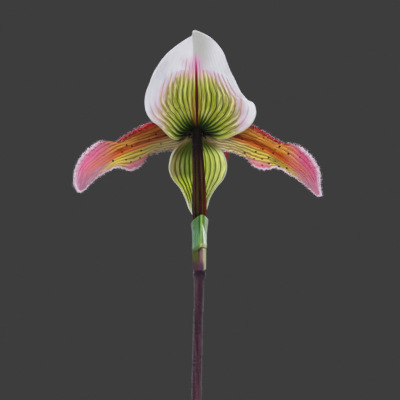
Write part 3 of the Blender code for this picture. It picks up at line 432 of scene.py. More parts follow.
def rounded_half(edge, half, thinnest, rounding):
    """Half the thickness of a blade, thinned to a round margin over the given width."""
    near = np.clip(edge / rounding, 0.0, 1.0)
    return half * (thinnest + (1 - thinnest) * np.sqrt(1 - (1 - near) ** 2))


def add_blade(
    name, grid, thickness, material, relief=0.0, rounding=0.45, ring=False, face_down=False, **values
):
    """A closed blade round a grid. Its values hold for both skins, and `under` tells them apart."""
    rows, columns = grid.shape[:2]
    count = rows * columns
    grid = grid + grid_normals(grid, ring) * np.broadcast_to(relief, (rows, columns))[..., None]
    edge = from_margin(grid, ring)
    points, faces = skin_shape(grid, rounded_half(edge, thickness / 2, 0.22, rounding)[..., None], ring)
    if ring:
        for side in (0, 1):
            start = side * count + count - columns
            centre = len(points)
            points = np.concatenate([points, points[start : start + columns].mean(axis=0)[None]])
            for j in range(columns):
                rim = [start + j, start + (j + 1) % columns]
                faces.append([*(rim if side == 0 else rim[::-1]), centre])
    both = {}
    for key, data in {**values, "edge": edge}.items():
        data = np.asarray(data, float)
        data = np.broadcast_to(data, (rows, columns, *data.shape[2:])).reshape(count, *data.shape[2:])
        centres = data[[count - 1] * 2] if ring else data[:0]
        both[key] = np.concatenate([data, data, centres])
    under = np.concatenate([np.zeros(count), np.ones(count), [0.0, 1.0][: 2 * ring]])
    return add_object(name, points, faces, material, **both, under=1.0 - under if face_down else under)


def blade_shares(rows, columns):
    """Shares along a blade, as a column, and across it, as a row that is closer near the margins."""
    even = np.linspace(-1.0, 1.0, columns)[None, :]
    return np.linspace(0.0, 1.0, rows)[:, None], 0.7 * even + 0.3 * np.sin(even * math.pi / 2)


def rail_grid(rails, t, u, keel=2.0):
    """A grid between two margins and a midrib. A keel under 2 folds it more sharply on the midrib."""
    left, middle, right = rails
    edge_a, edge_b = curve_through(left, t)[:, None], curve_through(right, t)[:, None]
    rib = curve_through(middle, t**MIDRIB_LAG)[:, None]
    u = u[..., None]
    fold = np.abs(u) ** np.broadcast_to(keel, t.shape)[..., None]
    return rib + u * (edge_b - edge_a) / 2 + fold * ((edge_a + edge_b) / 2 - rib)


def vein_number(across):
    """Counts the veins from the midrib outwards, as a number that runs on between them."""
    reach = np.abs(across)
    count = (np.sqrt(VEIN_FIRST**2 + 4 * VEIN_SPREAD * reach) - VEIN_FIRST) / (2 * VEIN_SPREAD)
    return count * np.sign(across)


def srgb(red, green, blue):
    """A colour given as 0 to 255, in linear light."""
    parts = [((v / 255 + 0.055) / 1.055) ** 2.4 if v > 10 else v / 3294.6 for v in (red, green, blue)]
    return (*parts, 1.0)


class Value:
    """What a node gives out. Arithmetic on it adds the nodes that it takes."""

    def __init__(self, net, socket):
        self.net, self.socket = net, socket

    def __add__(self, other):
        return self.net.math("ADD", self, other)

    def __sub__(self, other):
        return self.net.math("SUBTRACT", self, other)

    def __rsub__(self, other):
        return self.net.math("SUBTRACT", other, self)

    def __mul__(self, other):
        return self.net.math("MULTIPLY", self, other)

    def __truediv__(self, number):
        return self * (1 / number)

    def __pow__(self, power):
        return self.net.math("POWER", self, power)

    def __abs__(self):
        return self.net.math("ABSOLUTE", self)

    def root(self):
        return self.net.math("SQRT", self)

    def more(self, other):
        """The larger of two values."""
        return self.net.math("MAXIMUM", self, other)

    def less(self, other):
        """The smaller of two values."""
        return self.net.math("MINIMUM", self, other)

    def step(self, low, high):
        """Nought at low, one at high, and smooth between."""
        values = {"Value": self, "From Min": low, "From Max": high}
        return self.net.add("ShaderNodeMapRange", values, interpolation_type="SMOOTHSTEP")

    def band(self, middle, half, soft):
        """One within half a width of the middle, fading over the soft share beyond it."""
        return abs(self - middle).step(half + soft, half)

    def ramp(self, *stops):
        """Colours at places from nought to one, each running into the next."""
        ramp = self.net.add("ShaderNodeValToRGB", {0: self})
        line = ramp.socket.node.color_ramp
        while len(line.elements) < len(stops):
            line.elements.new(1.0)
        for element, (place, colour) in zip(line.elements, stops):
            element.position, element.color = place, srgb(*colour)
        return ramp

    def also(self, output):
        """Another output of the same node."""
        return Value(self.net, self.socket.node.outputs[output])

    def split(self):
        x = self.net.add("ShaderNodeSeparateXYZ", {0: self})
        return x, x.also(1), x.also(2)

    def stretch(self, *scale):
        return self.net.add("ShaderNodeVectorMath", {0: self, 1: scale}, operation="MULTIPLY")

    def shifted(self, other):
        return self.net.add("ShaderNodeVectorMath", {0: self, 1: other}, operation="ADD")

    def noise(self, scale, detail=2.0, roughness=0.5, distortion=0.0, out=0):
        values = {"Vector": self, "Scale": scale, "Detail": detail, "Roughness": roughness}
        return self.net.add("ShaderNodeTexNoise", {**values, "Distortion": distortion}, out=out)

    def cells(self, scale, **settings):
        return self.net.add("ShaderNodeTexVoronoi", {"Vector": self, "Scale": scale}, **settings)


class Net:
    """Adds nodes to a tree. A value is a number, a colour or what another node gives out."""

    def __init__(self, tree, material=None):
        self.tree, self.material = tree, material
        self.shader = tree.nodes["Principled BSDF"] if material else None

    def put(self, socket, value):
        """Links a socket to another node, or sets it to a plain value."""
        if isinstance(value, Value):
            self.tree.links.new(value.socket, socket)
        else:
            socket.default_value = srgb(*value) if socket.type == "RGBA" else value

    def add(self, kind, values=None, out=0, **settings):
        """A new node, as the value that it gives out."""
        node = self.tree.nodes.new(kind)
        for key, value in settings.items():
            setattr(node, key, value)
        for key, value in (values or {}).items():
            self.put(node.inputs[key], value)
        return Value(self, node.outputs[out])

    def math(self, operation, a, b=0.5):
        return self.add("ShaderNodeMath", {0: a, 1: b}, operation=operation)

    def vector_of(self, x, y, z):
        return self.add("ShaderNodeCombineXYZ", {0: x, 1: y, 2: z})

    def mix(self, share, a, b, **settings):
        """The first colour where the share is nought, the second where it is one."""
        values = {0: share, 6: a, 7: b}
        return self.add("ShaderNodeMix", values, out=2, data_type="RGBA", clamp_factor=True, **settings)

    def layers(self, colour, *coats):
        """A colour under thin coats, each as dense as its share."""
        for share, coat in coats:
            colour = self.mix(share, colour, coat)
        return colour

    def values(self, *names):
        """Named values of the piece."""
        return [self.add("ShaderNodeAttribute", out=2, attribute_name=name) for name in names]

    def vector(self, name):
        return self.add("ShaderNodeAttribute", out=1, attribute_name=name)

    @property
    def place(self):
        """Object coordinates, in metres."""
        return self.add("ShaderNodeTexCoord", out=3)

    def veins(self, count, width, waver):
        """Lines where the count passes a whole number. Their `Ridge` is the rise between them."""
        values = {"Count": count, "Width": width, "Waver": waver, "Place": self.place}
        return self.add("ShaderNodeGroup", values, node_tree=VEIN_LINES)

    def bump(self, height, distance, over=None):
        """A normal from a height, over another normal if there is one."""
        normal = {} if over is None else {"Normal": over}
        return self.add("ShaderNodeBump", {"Height": height, "Distance": distance, **normal})

    def finish(self, colour, normal=None, roughness=None):
        """Puts a material's colour and surface on its shader, and returns the material."""
        for name, value in (("Base Color", colour), ("Normal", normal), ("Roughness", roughness)):
            if value is not None:
                self.put(self.shader.inputs[name], value)
        return self.material


def new_group(name, inputs, outputs, kind="Shader"):
    """An empty node group with named inputs and outputs: its net, its inputs, and where its results go."""
    tree = bpy.data.node_groups.new(name, f"{kind}NodeTree")
    for way, sockets in (("INPUT", inputs), ("OUTPUT", outputs)):
        for label, socket in sockets.items():
            tree.interface.new_socket(name=label, in_out=way, socket_type=f"NodeSocket{socket}")
    net, given = Net(tree), tree.nodes.new("NodeGroupInput").outputs
    given = {label: Value(net, given[label]) for label in inputs}
    return net, given, tree.nodes.new("NodeGroupOutput").inputs


def make_vein_lines():
    """Lines where a running count passes a whole number."""
    inputs = {"Count": "Float", "Width": "Float", "Waver": "Float", "Place": "Vector"}
    net, given, result = new_group("vein lines", inputs, {"Mask": "Float", "Ridge": "Float"})
    count = given["Count"] + (given["Place"].noise(260.0, 1.0) - 0.5) * given["Waver"]
    off = abs(count - net.math("ROUND", count))
    net.put(result["Mask"], off.step(given["Width"], given["Width"] * 0.35))
    net.put(result["Ridge"], off.step(0.5, 0.0))
    return net.tree


def make_plant_skin():
    """Fine living unevenness: a mottle for the colour, and the height of tiny cells."""
    inputs = {"Place": "Vector", "Cell": "Float", "Patch": "Float"}
    net, given, result = new_group("plant skin", inputs, {"Mottle": "Float", "Height": "Float"})
    net.put(result["Mottle"], given["Place"].noise(given["Patch"], 3.0, 0.6))
    net.put(result["Height"], given["Place"].cells(given["Cell"], feature="SMOOTH_F1"))
    return net.tree


VEIN_LINES = make_vein_lines()
PLANT_SKIN = make_plant_skin()


def new_material(name, roughness, **settings):
    """The net of a new material. Settings are the shader's own plain values."""
    material = bpy.data.materials.new(name)
    material.use_nodes = True
    net = Net(material.node_tree, material)
    for key, value in {"roughness": roughness, **settings}.items():
        net.shader.inputs[key.replace("_", " ").title().replace("Ior", "IOR")].default_value = value
    return net


def living(net, colour, cell=3000.0, patch=140.0, shade=0.16, ridge=None, ridge_depth=0.0, roughness=None):
    """Gives a plant tissue its mottle, its cells and the relief of its veins, and returns its material."""
    values = {"Place": net.place, "Cell": cell, "Patch": patch}
    mottle = net.add("ShaderNodeGroup", values, node_tree=PLANT_SKIN)
    light = mottle * (2 * shade) + (1.0 - shade)
    colour = net.mix(1.0, colour, net.vector_of(light, light, light), blend_type="MULTIPLY")
    normal = net.bump(mottle.also("Height"), CELL_DEPTH)
    if ridge is not None:
        normal = net.bump(ridge, ridge_depth, normal)
    return net.finish(colour, normal, roughness)


def make_dorsal_material():
    """White hood, lilac above a yellow-green heart, and dark veins that fan out of a base painted near black
    as shade.
    """
    net = new_material(
        "dorsal sepal", 0.55, subsurface_weight=0.05, subsurface_radius=(0.0008, 0.0008, 0.0004),
        specular_ior_level=0.14,
    )
    vein, under, edge = net.values("vein", "under", "edge")
    p, q, _ = net.vector("place").split()
    fan, place, count, side = net.vector("fan"), net.place, abs(vein), abs(p)
    # How deep inside the heart a point lies, and how far from the sepal's foot
    above, low = (q - 8.0).more(0.0), q - 0.4
    half = (1.0 - (above / 14.6) ** 1.4).more(0.0).root() * 15.4
    depth = (half - abs(p - (1.0 - above * 0.14))).less(22.6 - q)
    base = (p * p + low * low * 2.2).root()
    lines = net.veins(vein, base.step(11.0, 3.0) * 0.24 + 0.17, 0.35)
    thin = net.veins(vein * 2.0 + 0.5, 0.22, 0.6)
    branches = net.veins(count * 1.2 - fan.split()[1] * 0.55, 0.32, 0.5)
    ridge = lines.also("Ridge")
    fibre = fan.stretch(7.0, 0.5, 1.0).noise(1.0, 3.0, 0.6)
    each_vein = fan.stretch(1.7, 0.2, 1.0).noise(1.0, 1.0)
    stripe = fan.stretch(2.1, 0.3, 1.0).noise(1.0)
    fingers = (ridge - 0.35) * each_vein.step(0.35, 0.62) * 7.0
    heart = (depth + (place.noise(120.0, 3.0) - 0.5) * 4.6 + fingers).step(-0.6, 2.6)
    ground = (depth / 9.0).ramp(
        (0.0, (204, 182, 180)), (0.3, (206, 190, 152)), (0.56, (188, 188, 80)), (0.8, (166, 178, 26)),
        (1.0, (158, 168, 14)),
    )
    dark = (depth / 9.0).ramp(
        (0.0, (190, 150, 164)), (0.25, (150, 112, 78)), (0.5, (92, 94, 14)), (0.75, (50, 66, 0)),
        (1.0, (52, 54, 0)),
    )
    olive = net.mix(base.step(12.0, 6.0), (112, 116, 10), (40, 62, 0))
    branched = count.step(2.6, 4.6) * depth.step(-0.5, 2.0) * base.step(7.0, 10.0)
    inner = net.layers(
        ground,
        (p.step(-5.0, -12.0) * depth.step(7.0, 2.0) * 0.55, (220, 184, 158)),
        (stripe.step(0.48, 0.6) * 0.75, (230, 226, 154)),
        (stripe.step(0.46, 0.36) * 0.5, (132, 148, 8)),
        (fibre.step(0.5, 0.62) * 0.3, (222, 218, 146)),
        (fibre.step(0.48, 0.36) * 0.5, (120, 132, 10)),
        (base.step(11.5, 3.5), (88, 130, 14)),
        (branches * place.noise(420.0, 1.0).step(0.36, 0.5) * branched * 0.8, (122, 128, 28)),
        (thin * depth.step(1.0, 4.0) * 0.62, olive),
        (lines * 0.96, net.mix(base.step(11.0, 5.0), dark, (8, 22, 0))),
    )
    crown = side.step(10.0, 4.0) * q.step(17.0, 21.0)
    reach = crown * -3.0 - 3.4
    halo = depth.step(reach, 1.0) * (crown * 0.2 + fibre.step(0.4, 0.6) * 0.5 + 0.16)
    # Painted shade: grey on the right half beside the ridge, towards the tip, where that half faces away
    # from the lamp
    shaded = p.step(-1.7, -0.9) * p.step(8.0, 1.0) * q.step(14.0, 30.0)
    line_tips = lines * depth.step(reach * 0.8, 0.0) * each_vein.step(0.4, 0.6)
    outer = net.layers(
        # Painted shade: the white greyer towards the left margin
        (200, 201, 210),
        (p.step(-14.0, 9.0), (216, 216, 222)),
        (fibre.step(0.35, 0.75) * 0.45, (224, 222, 230)),
        # Painted shade: soft grey-lilac patches over the white, for its volume
        (place.noise(110.0).step(0.5, 0.3) * 0.45, (172, 170, 184)),
        (shaded * 0.75, (160, 161, 154)),
        (halo, (200, 148, 190)),
        (line_tips * 0.34, (188, 132, 160)),
    )
    midvein = (q / 31.0).ramp(
        (0.0, (20, 4, 4)), (0.42, (56, 6, 4)), (0.66, (92, 12, 14)), (0.76, (168, 40, 96)),
        (0.86, (190, 96, 148)), (1.0, (196, 168, 190)),
    )
    flank = vein.step(-2.4, -0.5) * vein.step(1.4, 0.4) * q.step(20.0, 6.0)
    glow = count.step(2.6, 0.3) * q.step(30.0, 25.0) * q.step(18.0, 22.0)
    # Painted shade along the lower edge near the foot
    sole = side.step(9.5, 4.0) * q.step(1.6, 0.2)
    lower_rim = edge.step(0.6, 0.25) * q.step(9.0, 5.0) * side.step(5.0, 8.0)
    back = net.layers(
        outer,
        (heart, inner),
        (flank * 0.6, (148, 80, 8)),
        (glow * 0.5, (214, 130, 184)),
        (count.step(0.44, 0.2) * q.step(31.0, 23.0), midvein),
        # Painted shade: near black at the foot and along the lower edge beside it, where the sepal meets the
        # flower's centre
        (base.step(6.2, 2.4).more(sole) * 0.98, (8, 7, 4)),
        (lower_rim * 0.75, (200, 198, 164)),
        (edge.step(1.2, 0.2) * q.step(3.0, 7.0) * 0.75, (226, 224, 236)),
    )
    front = net.mix(lines * depth.step(-9.0, 1.0) * 0.8, back, (120, 40, 84))
    pleats = ridge * (heart * 0.85 + 0.15)
    return living(net, net.mix(under * 0.5, back, front), shade=0.06, ridge=pleats, ridge_depth=0.00016)


def make_synsepal_material():
    """Yellow-green with dark green veins and a cream margin."""
    net = new_material(
        "lower sepal", 0.55, subsurface_weight=0.04, subsurface_radius=(0.0008, 0.0008, 0.0003),
        specular_ior_level=0.12,
    )
    across, vein, edge = net.values("across", "vein", "edge")
    p, q, _ = net.vector("place").split()
    u, side = abs(across), p.step(-1.0, 1.0)
    lines = net.veins(vein, side * -0.07 + 0.23, 0.3)
    fibre = net.vector("fan").stretch(6.0, 0.6, 1.0).noise(1.0, 3.0, 0.6)
    near_top, shoulder = abs(p) * 0.8 - q + side * 1.6, side * 2.4 - q
    # Painted light and shade: the right half bright, the left half duller and darker but bright again
    # towards its tip
    right = u.ramp((0.0, (186, 216, 44)), (0.4, (228, 242, 104)), (0.85, (236, 240, 146)))
    left = u.ramp((0.0, (98, 124, 22)), (0.45, (122, 136, 52)), (0.85, (148, 140, 88)))
    left = net.mix(q.step(-14.0, -18.5), left, (220, 238, 72))
    dark = net.mix(u.step(0.6, 0.95), (40, 56, 0), (116, 88, 50))
    colour = net.layers(
        left,
        (side, right),
        (fibre.step(0.52, 0.3) * 0.5, (112, 136, 20)),
        (fibre.step(0.52, 0.72) * 0.35, (230, 234, 150)),
        (near_top.step(12.0, 5.5).more(shoulder.step(10.5, 6.5)) * 0.9, (56, 66, 2)),
        # Painted light: the veins lighter on the right half
        (lines * 0.92, net.mix(side * near_top.step(8.0, 14.0), dark, (92, 114, 0))),
        (edge.step(0.95, 0.35) * q.step(-4.0, -8.0) * 0.85, (222, 228, 200)),
        (q.step(-23.0, -29.0) * u.step(0.3, 0.8) * 0.8, (228, 232, 206)),
        # Painted shade: near black at the top, where the sepal meets the flower's centre
        (near_top.step(4.6, 2.6) * 0.96, (8, 10, 3)),
    )
    return living(net, colour, shade=0.06, ridge=lines.also("Ridge"), ridge_depth=0.00014)


def make_petal_material():
    """Orange-red above and striped yellow-green below, turning pink, with a whitish margin."""
    net = new_material(
        "petal", 0.5, subsurface_weight=0.05, subsurface_radius=(0.001, 0.0006, 0.0004),
        specular_ior_level=0.12, coat_weight=0.02, coat_roughness=0.35,
    )
    # tone tells the petals apart: it sets some of their own colours, and the lower it is, the more painted
    # shade and the less painted highlight a petal gets
    t, across, vein, edge, tone, streak_at = net.values("along", "across", "vein", "edge", "tone", "streak")
    fibre = net.vector("fan").stretch(1.0, 0.11, 1.0).noise(2.0, 3.0, 0.6)
    lines = net.veins(vein + (fibre - 0.5) * 0.5, 0.26, 0.6)
    thin = net.veins(vein * 2.0 + 0.5, 0.26, 0.8)
    waver = (net.place.noise(130.0) - 0.5) * 0.1
    w = across + waver
    near = (w * 0.5 + 0.5).ramp(
        (0.0, (204, 26, 58)), (0.09, (196, 34, 42)), (0.17, (196, 92, 36)), (0.3, (200, 112, 34)),
        (0.42, (180, 90, 22)), (0.52, (190, 150, 70)), (0.62, (202, 180, 88)), (0.76, (218, 204, 136)),
        (0.9, (214, 188, 150)), (1.0, (206, 178, 178)),
    )
    far = (w * 0.5 + 0.5).ramp(
        (0.0, (190, 36, 74)), (0.08, (190, 70, 62)), (0.18, (214, 138, 68)), (0.34, (218, 144, 56)),
        (0.46, (214, 124, 56)), (0.58, (200, 132, 50)), (0.68, (206, 180, 66)), (0.82, (200, 186, 84)),
        (0.92, (204, 150, 120)), (1.0, (206, 160, 176)),
    )
    # Painted highlight over the petal's own colours: its middle lit orange above and pale yellow-green
    # below, strongest where the tone is highest
    lower = net.mix(t.step(0.22, 0.5), (248, 240, 178), (242, 228, 104))
    glare = net.mix(w.step(-0.1, 0.2), (252, 180, 74), lower)
    dark = net.mix(w.step(-0.05, 0.12), (104, 26, 2), (98, 50, 26))
    calmer = t.step(0.84, 0.6)
    strength = w.step(0.1, -0.15) * 0.12 + 0.74 - w.step(-0.2, -0.4) * tone * 0.36
    off, reach = abs(across + waver * 0.6 - streak_at), tone * tone * 0.08 + 0.14
    streak = off.step(reach, reach * 0.4) * t.step(0.88, 0.76) * (fibre.step(0.6, 0.42) * 0.38 + 0.62)
    second = off.band(0.26, 0.03, 0.06) * t.step(0.6, 0.3) * w.step(-0.1, -0.3) * 0.75
    streak_colour = t.ramp(
        (0.0, (70, 12, 0)), (0.3, (112, 20, 0)), (0.5, (136, 38, 0)), (0.65, (176, 62, 8)),
        (0.84, (210, 80, 56)),
    )
    glow = (across - streak_at).band(0.2, 0.05, 0.14) * t.step(0.86, 0.7) * t.step(0.2, 0.5)
    ground = net.layers(
        near,
        (t.step(0.25, 0.5), far),
        # Painted highlight, scaled by the tone
        (t.step(0.85, 0.6) * w.step(-0.9, -0.7) * tone * 0.75, glare),
        (fibre.step(0.5, 0.34) * 0.35, (140, 62, 16)),
        (fibre.step(0.52, 0.68) * 0.5, (238, 184, 92)),
        (lines * strength * (calmer * 0.7 + 0.3), dark),
        (thin * (0.4 - tone * 0.2) * calmer, dark),
        (glow * 0.6, (216, 82, 20)),
        (streak.more(second) * 0.96, streak_colour),
    )
    tip = net.mix(tone, (122, 84, 106), (172, 124, 150))
    hot = w.step(-0.2, -0.9) * edge.step(0.9, 2.0) * t.step(0.9, 0.74) * tone
    pink = net.layers(
        (238, 130, 172),
        (tone, (206, 96, 138)),
        (w.step(-0.7, 0.5), (172, 122, 136)),
        (t.step(0.8, 0.98) * 0.8, tip),
        (fibre.step(0.48, 0.68) * 0.5, (220, 158, 184)),
        (hot * 0.5, (208, 66, 116)),
        (w.band(-0.14, 0.16, 0.35) * t.step(0.93, 0.76) * 0.8, (214, 116, 96)),
        (lines * 0.3, (176, 78, 104)),
    )
    turn = t - w * 0.1 + (1.0 - tone) * 0.07
    ruffle = w.step(0.56, 0.88) * t.step(0.37, 0.43) * t.step(0.62, 0.55)
    pale = edge.step(w.step(0.0, -0.8) * 1.1 + 0.95, 0.3) * t.step(0.56, 0.68)
    low_rim = edge.step(0.8, 0.2) * w.step(0.2, 0.5)
    # Painted shade on a petal with a lower tone: darker from its foot outwards, but not along its upper
    # margin
    shade = (1.0 - tone) * t.step(0.76, 0.36) * w.step(-0.98, -0.78)
    colour = net.layers(
        ground,
        (turn.step(0.66, 0.82), pink),
        (ruffle * 0.9, (206, 112, 146)),
        (pale.more(low_rim) * 0.85, (222, 204, 224)),
        (shade * 1.05, net.mix(w.step(-0.2, 0.3), (66, 16, 0), (54, 36, 24))),
        # Painted shade: near black at the foot, where the petal meets the flower's centre
        (t.step(0.07, 0.03) * 0.95, (14, 10, 5)),
    )
    return living(net, colour, shade=0.1, ridge=lines.also("Ridge"), ridge_depth=0.00022)


def make_ovary_material():
    """Near black where it joins the flower, as painted shade, then dark maroon ribs with olive between them,
    and painted light on the right side.
    """
    net = new_material("ovary", 0.7, specular_ior_level=0.1)
    x, y, z = net.place.split()
    around_it = net.values("around")[0] + OVARY_RIB_TURN
    furrow = net.math("COSINE", around_it * OVARY_RIBS).step(0.0, -0.6)
    tint = net.place.stretch(1.0, 1.0, 0.2).noise(500.0, 3.0)
    # Painted light: the olive warmer on the right side
    olive = net.mix(x.step(0.001, 0.0022), (60, 60, 6), (88, 66, 4))
    olive = net.mix(tint.step(0.6, 0.35) * 0.6, olive, (36, 40, 4))
    colour = net.layers(
        (34, 8, 14),
        # Painted light: the right side red-brown, as if lit from the right
        (x.step(0.0022, 0.0034), (122, 36, 4)),
        (tint.step(0.5, 0.75) * 0.5, (88, 34, 40)),
        (furrow * z.step(0.3735, 0.364) * 0.8, olive),
        # Painted shade: near black at the top and on the neck, where the ovary runs into the flower
        (z.step(0.3655, 0.3745), (7, 4, 5)),
        (y.step(0.0012, 0.0032), (6, 4, 4)),
        (z.step(0.3415, 0.338), (140, 92, 112)),
    )
    return living(net, colour, cell=2200.0)


def make_stalk_material():
    """Dark aubergine, paler near the ground."""
    net = new_material("flower stalk", 0.7, specular_ior_level=0.15)
    x, _, z = net.place.split()
    streaks = net.place.stretch(1.0, 1.0, 0.05).noise(1100.0, 3.0, 0.65)
    colour = net.layers(
        (36, 16, 30),
        (streaks.step(0.32, 0.68), (92, 56, 72)),
        (x.step(-0.0004, -0.0022), (40, 24, 36)),
        (z.step(0.15, 0.09), (104, 112, 62)),
        (z.step(0.3225, 0.3255), (38, 20, 36)),
    )
    return living(net, colour, cell=2200.0)


def make_bract_material():
    """Bluish green with a bright keel, a paler fold brightened to near white as a painted highlight, and an
    arched slit over the purple stalk, with painted shade along and under the arch and down the slit.
    """
    net = new_material(
        "bract", 0.45, subsurface_weight=0.08, subsurface_radius=(0.0006, 0.0009, 0.0005),
        specular_ior_level=0.3,
    )
    x, y, z = net.place.split()
    front = y.step(0.0002, -0.0006)
    # Millimetres to the right of the plant's axis, and above the flower's centre
    x, h = x / MM, z / MM - FLOWER_CENTRE[2]
    lines = net.veins(net.values("vein")[0], 0.3, 0.4)
    mottle = net.place.stretch(1.0, 1.0, 0.25).noise(900.0, 3.0, 0.65)
    fall = -30.0 - h
    # Where the fold's painted highlight lies
    wedge = (x - (fall * 0.07 + 1.85)).step(-0.1, 0.15) * (x - (fall * 0.25 + 1.95)).step(0.25, -0.2)
    # How far above the arch's edge a point lies
    past = (x - ARCH_MIDDLE).more(0.0)
    rise = h - (ARCH_TOP - (ARCH_MIDDLE - x) * ARCH_SLOPE).less(ARCH_TOP - past * past * ARCH_DROP)
    sheath = net.layers(
        (78, 88, 32),
        (x.step(0.4, 0.9), (136, 88, 106)),
        (mottle.step(0.45, 0.7) * 0.35, (150, 158, 96)),
        (x.step(1.9, 2.4), (216, 214, 178)),
        # Painted shade: a dark line down the slit
        (x.band(0.75, 0.08, 0.25) * h.step(-46.5, -44.5) * 0.85, (48, 30, 32)),
        # Painted shadow under the arch's edge
        (rise.step(-1.6, -0.4) * x.band(0.9, 0.55, 0.35) * 0.92, (36, 28, 14)),
    )
    back_sheath = net.mix(net.place.noise(200.0), (110, 122, 64), (136, 132, 86))
    colour = net.layers(
        (84, 140, 92),
        (mottle, (128, 166, 134)),
        (x.step(-0.9, -1.6), (142, 170, 154)),
        (lines * 0.35, (54, 104, 50)),
        (x.band(1.2, 0.3, 0.9) * h.step(-33.0, -37.5) * 0.85, (122, 160, 60)),
        (h.step(-33.5, -29.0) * 0.8, (82, 118, 56)),
        (x.band(0.95, 0.25, 0.35) * h.step(-36.0, -30.5) * 0.9, (28, 92, 18)),
        (x.band(1.6, 0.2, 0.25) * h.step(-38.5, -31.0) * front * 0.9, (160, 206, 96)),
        (x.step(1.9, 2.2) * h.step(-35.0, -32.0) * front * 0.85, (88, 132, 30)),
        # Painted highlight: the fold's paler inner face brightened to near white
        (wedge * h.step(-29.8, -31.5) * front * 0.95, (242, 248, 236)),
        (x.step(2.5, 3.1) * h.step(-40.0, -38.0) * front * 0.7, (208, 226, 206)),
        (rise.band(1.0, 0.5, 0.5) * front * 0.8, net.mix(x.step(0.6, 1.6), (84, 112, 44), (190, 186, 132))),
        # Painted shade along the arch's edge
        (rise.band(0.15, 0.12, 0.3) * front * 0.85, (38, 46, 16)),
        (rise.step(0.1, -0.2), net.mix(front, back_sheath, sheath)),
        (h.step(-43.6, -46.4) * x.step(2.9, 2.2) * 0.88, (80, 42, 72)),
    )
    return living(net, colour, cell=2600.0, shade=0.12, ridge=lines.also("Ridge"), ridge_depth=0.0001)


def make_pouch_material():
    """Mahogany above, green below, with darker veins, spotted and paler inside."""
    net = new_material(
        "pouch", 0.3, subsurface_weight=0.08, subsurface_radius=(0.0016, 0.0008, 0.0004), coat_weight=0.35,
        coat_roughness=0.22,
    )
    v, vein, under, front = net.values("along", "vein", "under", "front")
    place, veins = net.place, net.veins(vein, 0.2, 0.7)
    netted = place.cells(620.0, feature="DISTANCE_TO_EDGE").step(0.09, 0.02)
    mottle = place.noise(170.0, 3.0, 0.6)
    green = net.mix(mottle, (140, 138, 64), (166, 150, 84))
    spots = place.cells(780.0).step(0.3, 0.22) * v.step(0.7, 0.2)
    colour = net.layers(
        (118, 34, 40),
        (mottle, (152, 60, 54)),
        ((v + mottle * 0.3).step(0.5, 1.05), green),
        (front.step(0.35, -0.5) * 0.7, (158, 142, 84)),
        ((veins * 0.7).more(netted * 0.25), (78, 18, 30)),
        (v.step(0.6, 0.12) * front.step(0.6, 0.0) * 0.8, (220, 78, 104)),
        (v.step(0.035, 0.0) * 0.6, (204, 150, 110)),
        (under, net.mix(spots, (186, 172, 96), (112, 40, 44))),
    )
    return living(net, colour, cell=1800.0, shade=0.12, ridge=veins, ridge_depth=0.00012)


def make_column_material():
    """The shield, green with a soft net of darker veins, on a pale stalk."""
    net = new_material(
        "column", 0.34, subsurface_weight=0.12, subsurface_radius=(0.0008, 0.0012, 0.0005), coat_weight=0.25,
        coat_roughness=0.25,
    )
    part, flat, place = net.values("part")[0], net.vector("place"), net.place
    p, q, depth = flat.split()
    radial = (p * p + q * q).root()
    bent = flat.shifted(flat.noise(1.1, out=1).stretch(0.9, 0.9, 0.9))
    lines = bent.stretch(1.3, 0.85, 0.2).cells(1.25, feature="DISTANCE_TO_EDGE").step(0.26, 0.0)
    boss = p.band(0.0, 0.25, 0.5) * q.step(1.6, -0.6) * q.step(-2.6, -1.4)
    shield = net.layers(
        (104, 146, 44),
        (radial.step(0.6, 3.8), (186, 196, 112)),
        (flat.noise(2.6, 3.0) * 0.5, (150, 176, 84)),
        (lines * 0.6, (52, 96, 30)),
        (boss * 0.7, (40, 84, 20)),
        (radial.step(3.2, 4.1) * 0.75, (150, 96, 84)),
        # Partly the back's own purplish tint and partly painted shade: the shield's back dark maroon, so
        # that it stays dark where it shows through the gap round the flower's centre
        (depth.step(-0.25, -0.45), (44, 24, 26)),
    )
    pollen = net.mix(place.noise(900.0), (222, 178, 64), (240, 214, 120))
    stigma = net.mix(place.noise(700.0), (206, 214, 168), (226, 230, 200))
    colour = net.layers(
        (150, 148, 104),
        (place.noise(500.0), (96, 62, 60)),
        (part.step(0.4, 0.6), shield),
        (part.step(1.4, 1.6), pollen),
        (part.step(2.4, 2.6), stigma),
    )
    relief = lines * part.band(1.0, 0.3, 0.1) * -1.0
    return living(net, colour, cell=2400.0, shade=0.08, ridge=relief, ridge_depth=0.00005)


